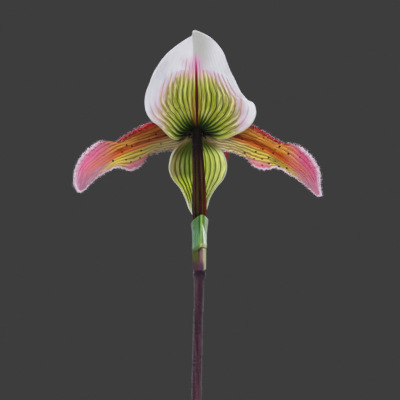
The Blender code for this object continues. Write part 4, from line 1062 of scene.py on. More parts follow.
def make_leaf_material():
    """Tessellated leaf: dark green blocks on pale green above, plain and purple-flecked below."""
    net = new_material(
        "leaf", 0.34, subsurface_weight=0.05, subsurface_radius=(0.0006, 0.0012, 0.0003), coat_weight=0.15,
        coat_roughness=0.3,
    )
    strap = net.vector("strap")
    under, u, t, edge = net.values("under", "across", "along", "edge")
    bent = strap.shifted(strap.noise(0.35, out=1).stretch(3.4, 5.5, 0.0))
    blocks = bent.stretch(0.56, 0.23, 1.0).cells(1.0, distance="CHEBYCHEV")
    jagged = blocks + strap.stretch(3.0, 0.8, 1.0).noise(1.0, 3.0, 0.65) * 0.34
    dark, tone, mid = jagged.step(0.68, 0.5), strap.noise(0.06), abs(u).step(0.045, 0.012)
    top = net.layers(
        net.mix(tone, (128, 158, 92), (152, 178, 112)),
        (jagged.step(0.8, 0.66) * 0.8, net.mix(tone, (84, 124, 62), (104, 142, 74))),
        (dark * 0.9, net.mix(tone, (34, 74, 34), (52, 94, 40))),
        (mid * 0.45, (150, 176, 118)),
    )
    flecks = strap.stretch(1.0, 0.5, 1.0).noise(2.4).step(0.56, 0.66) * t.step(0.42, 0.02)
    below = net.layers(
        (124, 146, 88),
        (strap.noise(0.3, 3.0), (152, 170, 114)),
        (dark * 0.28, (88, 116, 66)),
        (mid * 0.6, (164, 180, 126)),
        (flecks * 0.8, (92, 40, 66)),
    )
    colour = net.layers(
        top,
        (under, below),
        (t.step(0.13, 0.0) * 0.6, (168, 172, 120)),
        (edge.step(0.6, 0.2) * 0.5, (170, 186, 132)),
    )
    ridge = net.math("COSINE", strap.split()[0] * 4.2) * 0.05 + strap.stretch(1.0, 0.35, 1.0).noise(0.45)
    shine = strap.noise(0.5, 3.0) * 0.22 + 0.28
    return living(
        net, colour, cell=1500.0, patch=60.0, shade=0.12, ridge=ridge, ridge_depth=0.0004, roughness=shine
    )


def make_clay_material():
    """Fired clay with a limy bloom, water marks and fine grit."""
    net = new_material("clay", 0.85)
    place = net.place
    z = place.split()[2]
    grit = place.noise(1400.0, 3.0, 0.7)
    cloud = place.noise(24.0, 4.0, 0.6, 0.4)
    streak = place.stretch(1.0, 1.0, 0.22).noise(46.0, 4.0, 0.65)
    wet_line = z + cloud * 0.05
    specks = place.cells(420.0).step(0.16, 0.06) * place.noise(60.0)
    moss = place.noise(38.0, 4.0, 0.7).step(0.56, 0.7) * wet_line.step(0.06, 0.03)
    colour = net.layers(
        (168, 98, 70),
        (cloud, (194, 124, 90)),
        (specks * 0.9, (128, 70, 50)),
        (streak.step(0.5, 0.72) * wet_line.step(0.035, 0.09) * 0.75, (222, 198, 178)),
        (wet_line.step(0.06, 0.022) * 0.55, (134, 74, 52)),
        (moss * 0.5, (116, 112, 66)),
        (z.step(0.0965, 0.0995) * streak.step(0.3, 0.6) * 0.6, (214, 180, 156)),
    )
    rings = net.math("SINE", (z + cloud * 0.0016) * 2300.0)
    return net.finish(colour, net.bump(rings, 0.00003, net.bump(grit, 0.00012)), grit * 0.18 + 0.78)


def make_bark_material():
    """Layered bark, each chip with a tone of its own."""
    net = new_material("bark", 0.9)
    grain = net.place.stretch(1.0, 1.0, 3.2).noise(420.0, 4.0, 0.65, 0.8)
    brown = net.values("tone")[0].ramp(
        (0.0, (58, 38, 28)), (0.35, (92, 60, 42)), (0.65, (124, 84, 58)), (0.9, (150, 112, 82)),
        (0.94, (206, 200, 186)), (1.0, (222, 218, 206)),
    )
    colour = net.layers(
        brown,
        (grain.step(0.45, 0.7) * 0.5, (52, 34, 26)),
        (net.place.noise(800.0).step(0.6, 0.75) * 0.4, (168, 140, 110)),
    )
    return net.finish(colour, net.bump(grain, 0.0005))


def make_rhizome_material():
    """Papery, straw-coloured old leaf feet with brown fibres."""
    net = new_material("rhizome", 0.75)
    fibres = net.place.stretch(1.0, 1.0, 0.25).noise(700.0, 4.0, 0.7)
    colour = net.layers(
        (176, 154, 104),
        (fibres, (104, 78, 50)),
        (net.place.noise(110.0).step(0.5, 0.7) * 0.6, (122, 134, 78)),
    )
    return net.finish(colour, net.bump(fibres, 0.0003))


def make_mottled_material(name, roughness, scale, near, far, **settings):
    """Two close tones in soft patches, for hairs and warts."""
    net = new_material(name, roughness, **settings)
    return net.finish(net.mix(net.place.noise(scale), near, far))


def make_floor_material():
    """Pale, darkening far from the pot to the backdrop's own grey, which is lit by itself."""
    net = new_material("floor", 1.0, specular_ior_level=0.0, emission_strength=1.0)
    x, y, _ = net.place.split()
    far = (x * x + y * y).root().step(0.34, 0.86)
    pale = net.mix(net.place.noise(500.0), (206, 205, 202), (214, 213, 211))
    net.put(net.shader.inputs["Emission Color"], net.mix(far, (0, 0, 0), BACKDROP))
    return net.finish(net.mix(far, pale, (0, 0, 0)))


def geometry_tree(name, inputs):
    """An empty tree that works on a shape and ends in a material."""
    inputs = {"Geometry": "Geometry", **inputs, "Material": "Material"}
    return new_group(name, inputs, {"Geometry": "Geometry"}, "Geometry")


def end_tree(net, given, result, shape, smooth=False):
    """Makes a tree's shape real, and smooth if asked, and gives it its material."""
    shape = net.add("GeometryNodeRealizeInstances", {"Geometry": shape})
    if smooth:
        shape = net.add("GeometryNodeSetShadeSmooth", {"Geometry": shape})
    values = {"Geometry": shape, "Material": given["Material"]}
    net.put(result["Geometry"], net.add("GeometryNodeSetMaterial", values))
    return net.tree


def named_value(net, name, kind="FLOAT"):
    """A named value of the shape that a tree works on."""
    return net.add("GeometryNodeInputNamedAttribute", {"Name": name}, data_type=kind)


def random_value(net, low, high, seed, kind="FLOAT"):
    """A number or a vector drawn for each copy."""
    first, out = (2, 1) if kind == "FLOAT" else (0, 0)
    values = {first: low, first + 1: high, "Seed": seed}
    return net.add("FunctionNodeRandomValue", values, out=out, data_type=kind)


def random_turn(net, lean, seed):
    """Any turn about the upright, and a lean to any side up to the one given."""
    ends = [net.vector_of(lean * sign, lean * sign, MOST_SPIN * sign) for sign in (-1.0, 1.0)]
    return net.add("FunctionNodeEulerToRotation", {"Euler": random_value(net, *ends, seed, "FLOAT_VECTOR")})


def make_hair_tree():
    """Fine hairs that stand on a surface, as many as its `hairy` value asks for."""
    inputs = {"Density": "Float", "Length": "Float", "Root Radius": "Float", "Lean": "Float", "Seed": "Int"}
    net, given, result = geometry_tree("fine hairs", inputs)
    seed, density = given["Seed"], given["Density"] * named_value(net, "hairy")
    values = {"Mesh": given["Geometry"], "Density": density, "Seed": seed}
    roots = net.add("GeometryNodeDistributePointsOnFaces", values)
    values = {"Vertices": 3, "Radius Bottom": given["Root Radius"], "Depth": given["Length"]}
    hair = net.add("GeometryNodeMeshCone", values, fill_type="TRIANGLE_FAN")
    values = {0: roots.also("Rotation"), 1: random_turn(net, given["Lean"], seed)}
    stand = net.add("FunctionNodeRotateRotation", values, rotation_space="LOCAL")
    size = random_value(net, 0.55, 1.15, seed + 1.0)
    values = {"Points": roots, "Instance": hair, "Rotation": stand, "Scale": size}
    return end_tree(net, given, result, net.add("GeometryNodeInstanceOnPoints", values))


def make_wart_tree():
    """Low round warts on marked points, each as large as the point says and square to its face."""
    net, given, result = geometry_tree("warts", {"Height": "Float"})
    size = named_value(net, "size")
    ball = net.add("GeometryNodeMeshIcoSphere", {"Radius": 1.0, "Subdivisions": 2})
    facing = {"Vector": named_value(net, "facing", "FLOAT_VECTOR")}
    up = net.add("FunctionNodeAlignRotationToVector", facing, axis="Z")
    scale = net.vector_of(size, size, size * given["Height"])
    values = {"Points": given["Geometry"], "Instance": ball, "Rotation": up, "Scale": scale}
    return end_tree(net, given, result, net.add("GeometryNodeInstanceOnPoints", values), smooth=True)


def make_chip_tree():
    """Bark chips of several shapes, scattered over a bed and lying every way."""
    inputs = {"Spacing": "Float", "Tilt": "Float", "Size": "Float", "Chips": "Collection", "Seed": "Int"}
    net, given, result = geometry_tree("bark chips", inputs)
    seed = given["Seed"]
    values = {"Mesh": given["Geometry"], "Distance Min": given["Spacing"], "Density Max": CHIP_DENSITY}
    values["Seed"] = seed
    points = net.add("GeometryNodeDistributePointsOnFaces", values, distribute_method="POISSON")
    values = {"Collection": given["Chips"], "Separate Children": True, "Reset Children": True}
    chips = net.add("GeometryNodeCollectionInfo", values)
    stretch = random_value(net, (0.7, 0.7, 0.7), (1.2, 1.15, 1.25), seed + 3.0, "FLOAT_VECTOR")
    size = net.add("ShaderNodeVectorMath", {0: stretch, "Scale": given["Size"]}, operation="SCALE")
    turn = random_turn(net, given["Tilt"], seed)
    values = {"Points": points, "Instance": chips, "Pick Instance": True, "Rotation": turn, "Scale": size}
    scattered = net.add("GeometryNodeInstanceOnPoints", values)
    values = {"Geometry": scattered, "Name": "tone", "Value": random_value(net, 0.0, 1.0, seed + 5.0)}
    toned = net.add("GeometryNodeStoreNamedAttribute", values, data_type="FLOAT", domain="INSTANCE")
    return end_tree(net, given, result, toned)


def make_turning_tree():
    """Turns an outline round the pot's axis, and closes it where it meets the axis."""
    net, given, result = geometry_tree("turned on a wheel", {"Sides": "Int", "Waver": "Float"})
    outline = net.add("GeometryNodeMeshToCurve", {"Mesh": given["Geometry"]})
    circle = net.add("GeometryNodeCurvePrimitiveCircle", {"Resolution": given["Sides"], "Radius": 1e-5})
    wall = net.add("GeometryNodeCurveToMesh", {"Curve": circle, "Profile Curve": outline})
    closed = net.add("GeometryNodeMergeByDistance", {"Geometry": wall, "Distance": 0.0001})
    where = net.add("GeometryNodeInputPosition")
    x, y, _ = where.split()
    swell = (where.noise(14.0) - 0.62) * given["Waver"]
    values = {"Geometry": closed, "Offset": net.vector_of(x * swell, y * swell, 0.0)}
    uneven_wall = net.add("GeometryNodeSetPosition", values)
    return end_tree(net, given, result, uneven_wall, smooth=True)


HAIR_TREE = make_hair_tree()
WART_TREE = make_wart_tree()


def shaped_mesh(obj):
    """The mesh that an object's modifiers make of it. The modifiers are then removed."""
    obj.update_tag()
    bpy.context.view_layer.update()
    mesh = bpy.data.meshes.new_from_object(obj.evaluated_get(bpy.context.evaluated_depsgraph_get()))
    obj.modifiers.clear()
    return mesh


def grow(name, source, tree, keep=False, **inputs):
    """A plain mesh object from a tree run on an object, which is removed unless it is kept."""
    modifier = source.modifiers.new("grow", "NODES")
    modifier.node_group = tree
    for item in tree.interface.items_tree:
        if item.in_out == "INPUT" and item.name in inputs:
            modifier[item.identifier] = inputs[item.name]
    mesh = shaped_mesh(source)
    mesh.name = name
    if not keep:
        remove_objects(source)
    return link_object(name, mesh)


def carry(piece, slot, *nodes):
    """Rides a piece on the plant and, if asked, stands it for solids."""
    if nodes:
        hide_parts(*nodes)
    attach(piece, "root")
    return piece


def add_hairs(name, source, slot, material, density, length, root, lean, seed):
    """Hairs on a piece. Density is a square millimetre's count, and root the radius at the skin."""
    sizes = {"Density": density * 1e6, "Length": length * MM, "Root Radius": root * MM}
    carry(grow(name, source, HAIR_TREE, keep=True, Lean=lean, Seed=seed, Material=material, **sizes), slot)


def outward(obj):
    """Turns a closed mesh's faces outwards if they all point in."""
    points = np.array([v.co for v in obj.data.vertices])
    total = 0.0
    for face in obj.data.polygons:
        corners = points[list(face.vertices)]
        for k in range(1, len(corners) - 1):
            total += np.linalg.det(np.stack([corners[0], corners[k], corners[k + 1]]))
    if total < 0:
        obj.data.flip_normals()
    return obj


def face_out(obj):
    """Turns every face of a mesh of closed shapes outwards."""
    shape = bmesh.new()
    shape.from_mesh(obj.data)
    bmesh.ops.recalc_face_normals(shape, faces=shape.faces)
    shape.to_mesh(obj.data)
    shape.free()


def tube_rings(path, radii, sides, ribs=0, rib_depth=0.0):
    """Rings of points round a path, with the angle of each point."""
    path = np.asarray(path, float)
    tangents = np.gradient(path, axis=0)
    tangents /= np.linalg.norm(tangents, axis=1)[:, None]
    side = np.cross(tangents[0], (0.0, 1.0, 0.3))
    across, up = [], []
    for tangent in tangents:
        side = side - tangent * (side @ tangent)
        side = side / np.linalg.norm(side)
        across.append(side)
        up.append(np.cross(tangent, side))
    turn = ring_angles(sides)
    depth = np.broadcast_to(rib_depth, len(path))[:, None]
    reach = np.asarray(radii)[:, None] * (1.0 + depth * np.cos(ribs * (turn + OVARY_RIB_TURN)))
    offset = np.array(across)[:, None] * (reach * np.cos(turn))[..., None]
    offset = offset + np.array(up)[:, None] * (reach * np.sin(turn))[..., None]
    return path[:, None] + offset, np.broadcast_to(turn, (len(path), sides))


def add_tube(name, path, radii, sides, material, ribs=0, rib_depth=0.0, **values):
    """A closed round bar along a path, with named values that run along it."""
    rings, turn = tube_rings(path, radii, sides, ribs, rib_depth)
    values = {key: np.repeat(np.asarray(data, float), sides) for key, data in values.items()}
    points, faces = rings.reshape(-1, 3), ring_faces(len(path), sides)
    return outward(add_object(name, points, faces, material, **values, around=turn.ravel()))


def make_dorsal(material):
    """The hood: fine pleats below, and a soft unevenness above them."""
    t, u = blade_shares(*HOOD_GRID)
    grid = rail_grid(DORSAL, t, u, keel=2.0 - 0.9 * ease(t, 0.45, 0.95))
    vein, calm = vein_number(u), 1 - ease(t, 0.7, 0.9)
    fade = ease(t, 0.02, 0.12) * (1 - ease(t, 0.35, 0.62)) * (1 - ease(np.abs(u), 0.6, 0.9))
    relief = 0.08 * ripple(vein) * fade
    relief = relief + uneven(t, 5, 6.0) * 0.2 * np.abs(u) ** 6 * calm
    relief = relief + 0.12 * uneven(t, 6, 3.0) * uneven(u, 7, 3.0) * calm
    hood = add_blade(
        "hood", flower_to_plant(grid), BLADE_THICKNESS, material, relief=relief, vein=vein, place=grid,
        fan=stacked(vein, 12.0 * t, 0.0),
    )
    carry(hood, "sepal", "dorsal_sepal")


def make_synsepal(material):
    """The two lower sepals, grown into one pleated blade."""
    t, u = blade_shares(*SYNSEPAL_GRID)
    grid = rail_grid(SYNSEPAL, t, u)
    vein = vein_number(u) * 0.62
    sepals = add_blade(
        "joined_sepals", flower_to_plant(grid), BLADE_THICKNESS, material,
        relief=-0.1 * ripple(vein) * ease(t, 0.03, 0.15), across=u, vein=vein, place=grid,
        fan=stacked(vein, 10.0 * t, 5.0),
    )
    carry(sepals, "sepal", "synsepal")


def make_petal(name, node, rails, spots, streak, tone, seed, material, hair, wart):
    """A petal with fine ruffles, warts, and white hairs along its margins."""
    t, u = blade_shares(*PETAL_GRID)
    grid = rail_grid(rails, t, u)
    crisp = uneven(t, seed, 26.0) * ease(-u, 0.55, 1.0) * 0.28
    crisp = crisp + uneven(t, seed + 1, 17.0) * ease(u, 0.6, 1.0) * 0.2
    crisp = crisp * ease(t, 0.04, 0.2) * (1 - ease(t, 0.93, 1.0))
    frill = uneven(t, seed + 2, 34.0) * np.abs(u) ** 8 * 0.22
    grid[..., 1] += frill * np.sign(-u) * ease(t, 0.1, 0.25) * (1 - ease(t, 0.9, 1.0))
    vein, plant = u * 5.5, flower_to_plant(grid)
    petal = add_blade(
        name, plant, BLADE_THICKNESS, material,
        relief=0.07 * ripple(vein) * (1 - ease(np.abs(u), 0.7, 0.95)) + crisp,
        across=u, along=t, vein=vein, streak=np.interp(t, STREAK_SHARES, streak), tone=tone,
        hairy=ease(-u, 0.9, 0.985) * ease(t, 0.08, 0.16) + 0.5 * ease(u, 0.93, 0.99),
        fan=stacked(7.0 * u, 48.0 * t, float(seed)),
    )
    carry(petal, "petal", node)
    fringe = name + "_fringe"
    add_hairs(fringe, petal, "petal", hair, density=9.0, length=0.8, root=0.042, lean=0.6, seed=seed)
    # Warts: a row along the upper margin, the larger spots, and a few small ones between
    draw = np.random.default_rng(seed)
    marked = []
    for k in range(MARGIN_WARTS):
        i = int(np.interp(k + draw.uniform(-0.3, 0.3), (0, MARGIN_WARTS - 1), (22, 165)))
        marked.append((i, draw.integers(0, 4), draw.uniform(0.14, 0.26)))
    for spot in spots:
        away = np.linalg.norm(grid[..., :2] - np.array(spot), axis=2)
        i, j = np.unravel_index(np.argmin(away), away.shape)
        marked.append((i, j, draw.uniform(0.3, 0.42)))
    for k in range(STREWN_WARTS):
        marked.append((draw.integers(20, 150), draw.integers(10, 62), draw.uniform(0.14, 0.22)))
    normals = grid_normals(plant)
    places, facing, size = [], [], []
    for i, j, radius in marked:
        stand = WART_STAND_AT_MARGIN if j < 4 else WART_STAND
        for sign in (1, -1):
            places.append(plant[i, j] + normals[i, j] * sign * stand)
            facing.append(normals[i, j] * sign)
            size.append(radius * MM)
    marks = add_object(name + "_marks", places, [], facing=facing, size=size)
    carry(grow(name + "_warts", marks, WART_TREE, Height=WART_FLATNESS, Material=wart), "petal")


def make_ovary(material, hair):
    """The ribbed ovary and the plain neck that joins it to the flower."""
    points = np.concatenate([flower_to_plant(NECK_PATH), OVARY_PATH[:, :3] + FLOWER_CENTRE])
    radii = np.concatenate([[NECK_RADIUS] * len(NECK_PATH), OVARY_PATH[:, 3]])
    shares = np.linspace(0.0, 1.0, OVARY_RINGS)
    thick = np.interp(shares, knots_of(points), radii)
    window = np.hanning(11)[1:-1]
    thick = np.convolve(np.pad(thick, 4, mode="edge"), window / window.sum(), "valid")
    ovary = add_tube(
        "ribbed_ovary", curve_through(points, shares), thick, OVARY_SIDES, material, OVARY_RIBS,
        0.08 * np.interp(shares, (0.12, 0.3, 0.65, 0.8), (0.0, 1.0, 1.0, 0.0)),
        hairy=np.interp(shares, (0.0, 0.1, 0.2, 0.62, 0.68), (0.0, 0.0, 1.0, 1.0, 0.0)),
    )
    carry(ovary, "stem", "ovary")
    add_hairs("ovary_hairs", ovary, "stem", hair, density=5.0, length=0.5, root=0.02, lean=0.5, seed=31)


def make_stem(material, hair):
    """The flower's stalk, with a thicker ring under the bract."""
    shares = np.linspace(0.0, 1.0, STEM_RINGS)
    path, radii = curve_through(STEM_PATH, shares), value_along(STEM_RADII, shares)
    ring = np.array(STEM_PATH[-1]) - np.outer((1.0, 0.75, 0.5, 0.25, 0.0), (0.0, 0.0, STEM_NODE_HEIGHT))
    keep = path[:, 2] < ring[0, 2] - 0.8
    path = np.concatenate([path[keep], ring])
    radii = np.concatenate([radii[keep], STEM_NODE_RADIUS * np.array(STEM_NODE_SWELL)])
    radii[: keep.sum()] *= 1 + 0.02 * uneven(np.linspace(0, 1, keep.sum()), 9, 14.0)
    stem = add_tube("scape", path, radii, STEM_SIDES, material, hairy=np.ones(len(path)))
    carry(stem, "stem", "flower_stem")
    add_hairs("scape_hairs", stem, "stem", hair, density=4.0, length=0.6, root=0.022, lean=0.5, seed=47)


def bract_fold(x, height):
    """How far the bract's folds stand out, by the place from its axis and the height from the flower."""
    left, right = (ARCH_MIDDLE - x) * ARCH_SLOPE, (x - ARCH_MIDDLE) ** 2 * ARCH_DROP
    arch = ARCH_TOP - np.where(x < ARCH_MIDDLE, left, right)
    below = ease(arch - height, -0.1, 0.25)
    wedge_left = 1.9 + 0.07 * (-30.2 - height)
    keel = 0.16 * hump(x, 1.35, 0.2)
    wedge = 0.2 * ease(x - wedge_left, -0.25, 0.15) * ease(height, -29.5, -33.0)
    lip = 0.22 * hump(height - arch, 0.9, 0.8)
    column, slit = 0.12 * hump(x, 1.7, 0.5), 0.25 * hump(x, 0.75, 0.2)
    taper = 0.18 * ease(height, -42.5, -46.5)
    return (keel + wedge + lip) * (1 - below) + (column - slit - 0.24) * below - taper


def make_bract(material, hair):
    """The bract: a sleeve open in front, that narrows to a leaning tip."""
    t, u = blade_shares(*BRACT_GRID)
    t = 1.0 - (1.0 - t) ** 1.8
    wrap = BRACT_WRAP * value_along(BRACT_WRAP_SHARES, t)
    turn = BRACT_BACK + BRACT_TIP_TURN * ease(t, 0.6, 0.85) + wrap * u
    height = BRACT_FOOT + (BRACT_TIP - BRACT_FOOT) * t
    centre = FLOWER_CENTRE + (*OVARY_PATH[-1, :2], 0.0)
    grid = around(turn, value_along(BRACT_RADII, t), centre[2] + height, centre)
    vein = u * 9.0
    relief = 0.04 * ripple(vein) + bract_fold(grid[..., 0], height) * ease(-np.sin(turn), 0.0, 0.4)
    bract = add_blade(
        "sheathing_bract", grid, BRACT_THICKNESS, material, relief=relief, rounding=0.3, vein=vein,
        hairy=1.0,
    )
    carry(bract, "bract", "bract")
    add_hairs("bract_hairs", bract, "bract", hair, density=0.8, length=0.4, root=0.02, lean=0.6, seed=53)


def make_pouch(material):
    """The slipper: its mouth rises into two ears, and its side lobes fold in behind them."""
    rows, sides = POUCH_GRID
    t, turn = np.linspace(0.0, 1.0, rows)[:, None], ring_angles(sides)[None, :]
    front, back, side = (
        stacked(*(value_along(part, t) for part in zip(*profile)))
        for profile in (POUCH_FRONT, POUCH_BACK, POUCH_SIDE)
    )
    cosine, sine = np.cos(turn), np.sin(turn)
    towards = cosine[..., None]
    upright = front * (1 + towards) / 2 + back * (1 - towards) / 2
    upright = upright + (side - (front + back) / 2) * sine[..., None] ** 2
    from_front = np.minimum(turn, FULL_TURN - turn)
    rim = np.clip(1.0 - RIM_FADE * t, 0.0, 1.0) ** 1.5
    ear = rim * hump(from_front, EAR_PLACE, EAR_SPREAD)
    fold = rim * hump(from_front, FOLD_PLACE, FOLD_SPREAD)
    swing = value_along(POUCH_SWING, t)
    right = value_along(POUCH_HALF_WIDTH, t) * sine * (1 - FOLD_DEPTH * fold)
    right = right + EAR_FLARE * ear * np.sign(sine) + swing * (1 + cosine) / 2 + swing * 0.5 * sine**2
    upright[..., 0] += EAR_RISE * ear
    grid = np.concatenate([right[..., None], upright], axis=2)
    close = ease(t, 0.9, 1.0)[..., None] * 0.75
    grid = grid * (1 - close) + np.array(POUCH_TOE) * close
    slipper = add_blade(
        "slipper", flower_to_plant(grid), POUCH_WALL, material, ring=True, along=t, vein=from_front * 4.4,
        front=cosine,
    )
    carry(outward(slipper), "lip", "pouch")


def join_shapes(name, shapes, material):
    """One object out of closed shapes, each given as points, faces, a number and its pattern's places."""
    points, faces, parts, places, start = [], [], [], [], 0
    for shape_points, shape_faces, part, place in shapes:
        points.append(shape_points)
        faces += [[start + k for k in face] for face in shape_faces]
        parts.append(np.full(len(shape_points), float(part)))
        places.append(place)
        start += len(shape_points)
    values = {"part": np.concatenate(parts), "place": np.concatenate(places)}
    joined = add_object(name, np.concatenate(points), faces, material, **values)
    face_out(joined)
    return joined


def ball(place, radii, sides=24, rings=14):
    """Points and faces of a stretched ball in the flower frame."""
    turn, tilt = ring_angles(sides), np.linspace(0.03, math.pi - 0.03, rings)[:, None]
    shape = around(turn, np.sin(tilt), np.cos(tilt))
    return shape.reshape(-1, 3) * np.array(radii) + np.array(place), ring_faces(rings, sides)


def shield_outline(turn):
    """Reach of the shield's edge: broad, with a notch above and three small teeth below."""
    low = turn + math.pi / 2
    teeth = sum(size * hump(low, place, 0.16) for place, size in ((0.0, 0.1), (0.55, 0.14), (-0.55, 0.14)))
    dip = 0.16 * (turn < 0) * hump(low, 0.0, 0.75)
    return 1.0 - 0.2 * hump(turn, math.pi / 2, 0.32) + teeth - dip


def make_column(material):
    """The column: a stalk, the domed shield in front, two pollen masses and the stigma."""
    share = np.linspace(0.0, 1.0, COLUMN_RINGS)
    path = COLUMN_START + np.outer(share, COLUMN_END - COLUMN_START)
    stalk, _ = tube_rings(path, COLUMN_RADIUS * value_along(COLUMN_SWELL, share), COLUMN_SIDES)
    stalk = stalk.reshape(-1, 3)
    turn = np.linspace(-math.pi, math.pi, SHIELD_SIDES, endpoint=False)
    rows = []
    for reach, depth in SHIELD_SECTION:
        reach = reach * (1.0 + (shield_outline(turn) - 1.0) * ease(reach, 0.2, 0.95))
        x, y = reach * SHIELD_HALF_WIDTH * np.cos(turn), reach * SHIELD_HALF_HEIGHT * np.sin(turn)
        rows.append(stacked(x, y, depth * SHIELD_THICKNESS))
    flat = np.concatenate(rows)
    shield = flat @ np.array(Matrix.Rotation(SHIELD_LEAN, 3, "X")).T + np.array(SHIELD_PLACE)
    shapes = [
        (flower_to_plant(stalk), ring_faces(COLUMN_RINGS, COLUMN_SIDES), 0, stalk),
        (flower_to_plant(shield), ring_faces(len(SHIELD_SECTION), SHIELD_SIDES), 1, flat),
    ]
    anthers = [(np.array(ANTHER_PLACE) * (side, 1, 1), ANTHER_RADII, 2) for side in (-1, 1)]
    for place, radii, part in (*anthers, (STIGMA_PLACE, STIGMA_RADII, 3)):
        points, faces = ball(place, radii)
        shapes.append((flower_to_plant(points), faces, part, points))
    carry(join_shapes("column_and_shield", shapes, material), "shield", "column")


def leaf_grid(shape, sheath_radius, t, u):
    """A folded strap leaf whose foot clasps a circle round the axis. It points along +X."""
    length, half_width, rise, droop, _ = shape
    fine = np.linspace(0.0, 1.0, 241)
    angle = np.interp(fine, LEAF_ANGLE_SHARES, (*SHEATH_ANGLES, rise, (rise + droop) / 2, droop))
    blur = np.hanning(31)
    padded = np.pad(angle, len(blur) // 2, mode="edge")
    angle = np.radians(np.convolve(padded, blur / blur.sum(), mode="valid"))
    step = length / (len(fine) - 1)
    out, up = (np.concatenate([[0.0], np.cumsum(way(angle[:-1]) * step)]) for way in (np.cos, np.sin))
    lean = np.interp(t, fine, angle)
    arm = min(SHEATH_MOST_ARM, sheath_radius * SHEATH_MOST_WRAP)
    width = value_along((arm, *(half_width * share for share in LEAF_WIDTHS), LEAF_TIP_HALF_WIDTH), t)
    wrap = value_along((arm / sheath_radius, *LEAF_CURLS), t)
    bend = width / wrap
    fold = value_along(LEAF_FOLDS, t) * width
    inward = bend * (1 - np.cos(wrap * u)) + fold * (np.sqrt(u**2 + 0.01) - 0.1)
    x = np.interp(t, fine, sheath_radius + out) - np.sin(lean) * inward
    y = bend * np.sin(wrap * u) * value_along(LEAF_SQUASH, t)
    return stacked(x, y, np.interp(t, fine, up) + np.cos(lean) * inward), width


def make_fan(prefix, node, leaves, first_radius, step, turn, place, lean, material):
    """Leaves in two opposite ranks, youngest first, each round the one before."""
    t, u = blade_shares(*LEAF_GRID)
    share = np.clip(t / SWING_SHARE, 0.0, 1.0)[..., None]
    for k, shape in enumerate(leaves):
        grid, width = leaf_grid(shape, first_radius + k * step, t, u)
        grid = grid * (1 - share) + turned_about_z(grid, math.radians(shape[-1])) * share
        grid = turned_about_z(grid, math.pi * (k % 2) + turn)
        grid[..., 1] -= math.tan(lean) * grid[..., 2]
        wave = uneven(t, 70 + k, 5.0) * np.abs(u) ** 3 * 0.5 + 0.16 * uneven(t, 90 + k, 11.0) * (1 - u**2)
        groove = -0.22 * hump(u, 0.0, 0.05) * ease(t, 0.1, 0.3)
        face_down = grid_normals(grid)[60:, :, 2].mean() <= 0
        leaf = add_blade(
            f"{prefix}_{k + 1}", grid + np.array(place), LEAF_THICKNESS, material, rounding=0.5,
            relief=-(wave * ease(t, 0.25, 0.45) + groove), face_down=face_down, across=u, along=t,
            strap=stacked(width * u, shape[0] * t, 40.0 * k + (400.0 if lean else 0.0)),
        )
        carry(leaf, "leaf", f"{node}_{k + 1}")


def rounded_corner(inner, corner, outer, radius, steps=6):
    """Points of an arc that rounds the corner between two straight edges of a profile."""
    corner = np.array(corner, float)
    to_inner, to_outer = np.array(inner, float) - corner, np.array(outer, float) - corner
    start = corner + to_inner / np.linalg.norm(to_inner) * radius
    end = corner + to_outer / np.linalg.norm(to_outer) * radius
    shares = np.linspace(0.0, 1.0, steps + 1)[:, None]
    arc = (1 - shares) ** 2 * start + 2 * shares * (1 - shares) * corner + shares**2 * end
    return [tuple(point) for point in arc]


def pot_inner_radius(height):
    """The pot's radius inside, at a height."""
    slope = (POT_NECK_RADIUS - POT_FOOT_RADIUS) / (POT_HEIGHT - POT_RIM_HEIGHT)
    return POT_FOOT_RADIUS - POT_WALL + slope * height


def pot_profile():
    """Radii and heights along the pot's section, from under its foot to its floor inside."""
    band = POT_HEIGHT - POT_RIM_HEIGHT
    corners = (
        (0.0, 0.0), (POT_FOOT_RADIUS, 0.0), (POT_NECK_RADIUS, band), (POT_RIM_RADIUS - 1.0, band),
        (POT_RIM_RADIUS, POT_HEIGHT), (pot_inner_radius(POT_HEIGHT), POT_HEIGHT),
        (pot_inner_radius(POT_FLOOR), POT_FLOOR), (0.0, POT_FLOOR),
    )
    profile = [(0.02, 0.0)]
    for before, corner, after, radius in zip(corners, corners[1:], corners[2:], POT_ROUNDINGS):
        profile += rounded_corner(before, corner, after, radius)
    profile.append((0.02, POT_FLOOR))
    full = []
    for (r0, z0), (r1, z1) in zip(profile, profile[1:]):
        steps = max(1, int(math.hypot(r1 - r0, z1 - z0) / 5.0))
        full += [(r0 + (r1 - r0) * k / steps, z0 + (z1 - z0) * k / steps) for k in range(steps)]
    return [*full, profile[-1]]


def add_turned(name, profile, sides, material=None, centre=(0.0, 0.0)):
    """A closed solid from a profile of radii and heights, from one end on the axis to the other."""
    rings = [around(ring_angles(sides), radius, height, centre) for radius, height in profile]
    return outward(add_object(name, np.concatenate(rings), ring_faces(len(profile), sides), material))


def make_pot(material):
    """The clay pot, turned from its outline, with its drain holes cut."""
    points = [(radius, -height, 0.0) for radius, height in pot_profile()]
    outline = add_object("pot outline", points, [], edges=[(k, k + 1) for k in range(len(points) - 1)])
    values = {"Sides": POT_SIDES, "Waver": POT_WAVER, "Material": material}
    pot = outward(grow("clay_pot", outline, make_turning_tree(), **values))
    cutters = []
    for k in range(DRAIN_HOLES):
        turn = FULL_TURN * (k + 0.5) / DRAIN_HOLES
        centre = (DRAIN_CIRCLE * math.cos(turn), DRAIN_CIRCLE * math.sin(turn))
        ends = ((DRAIN_RADIUS, -POT_FLOOR), (DRAIN_RADIUS, 2 * POT_FLOOR))
        cutters.append(add_turned(f"drain {k}", ends, DRAIN_SIDES, centre=centre))
        cut = pot.modifiers.new("drain", "BOOLEAN")
        cut.operation, cut.solver, cut.object = "DIFFERENCE", "EXACT", cutters[-1]
    pot.data = shaped_mesh(pot)
    pot.data.shade_smooth()
    remove_objects(*cutters)
    carry(pot, "clay", "pot")


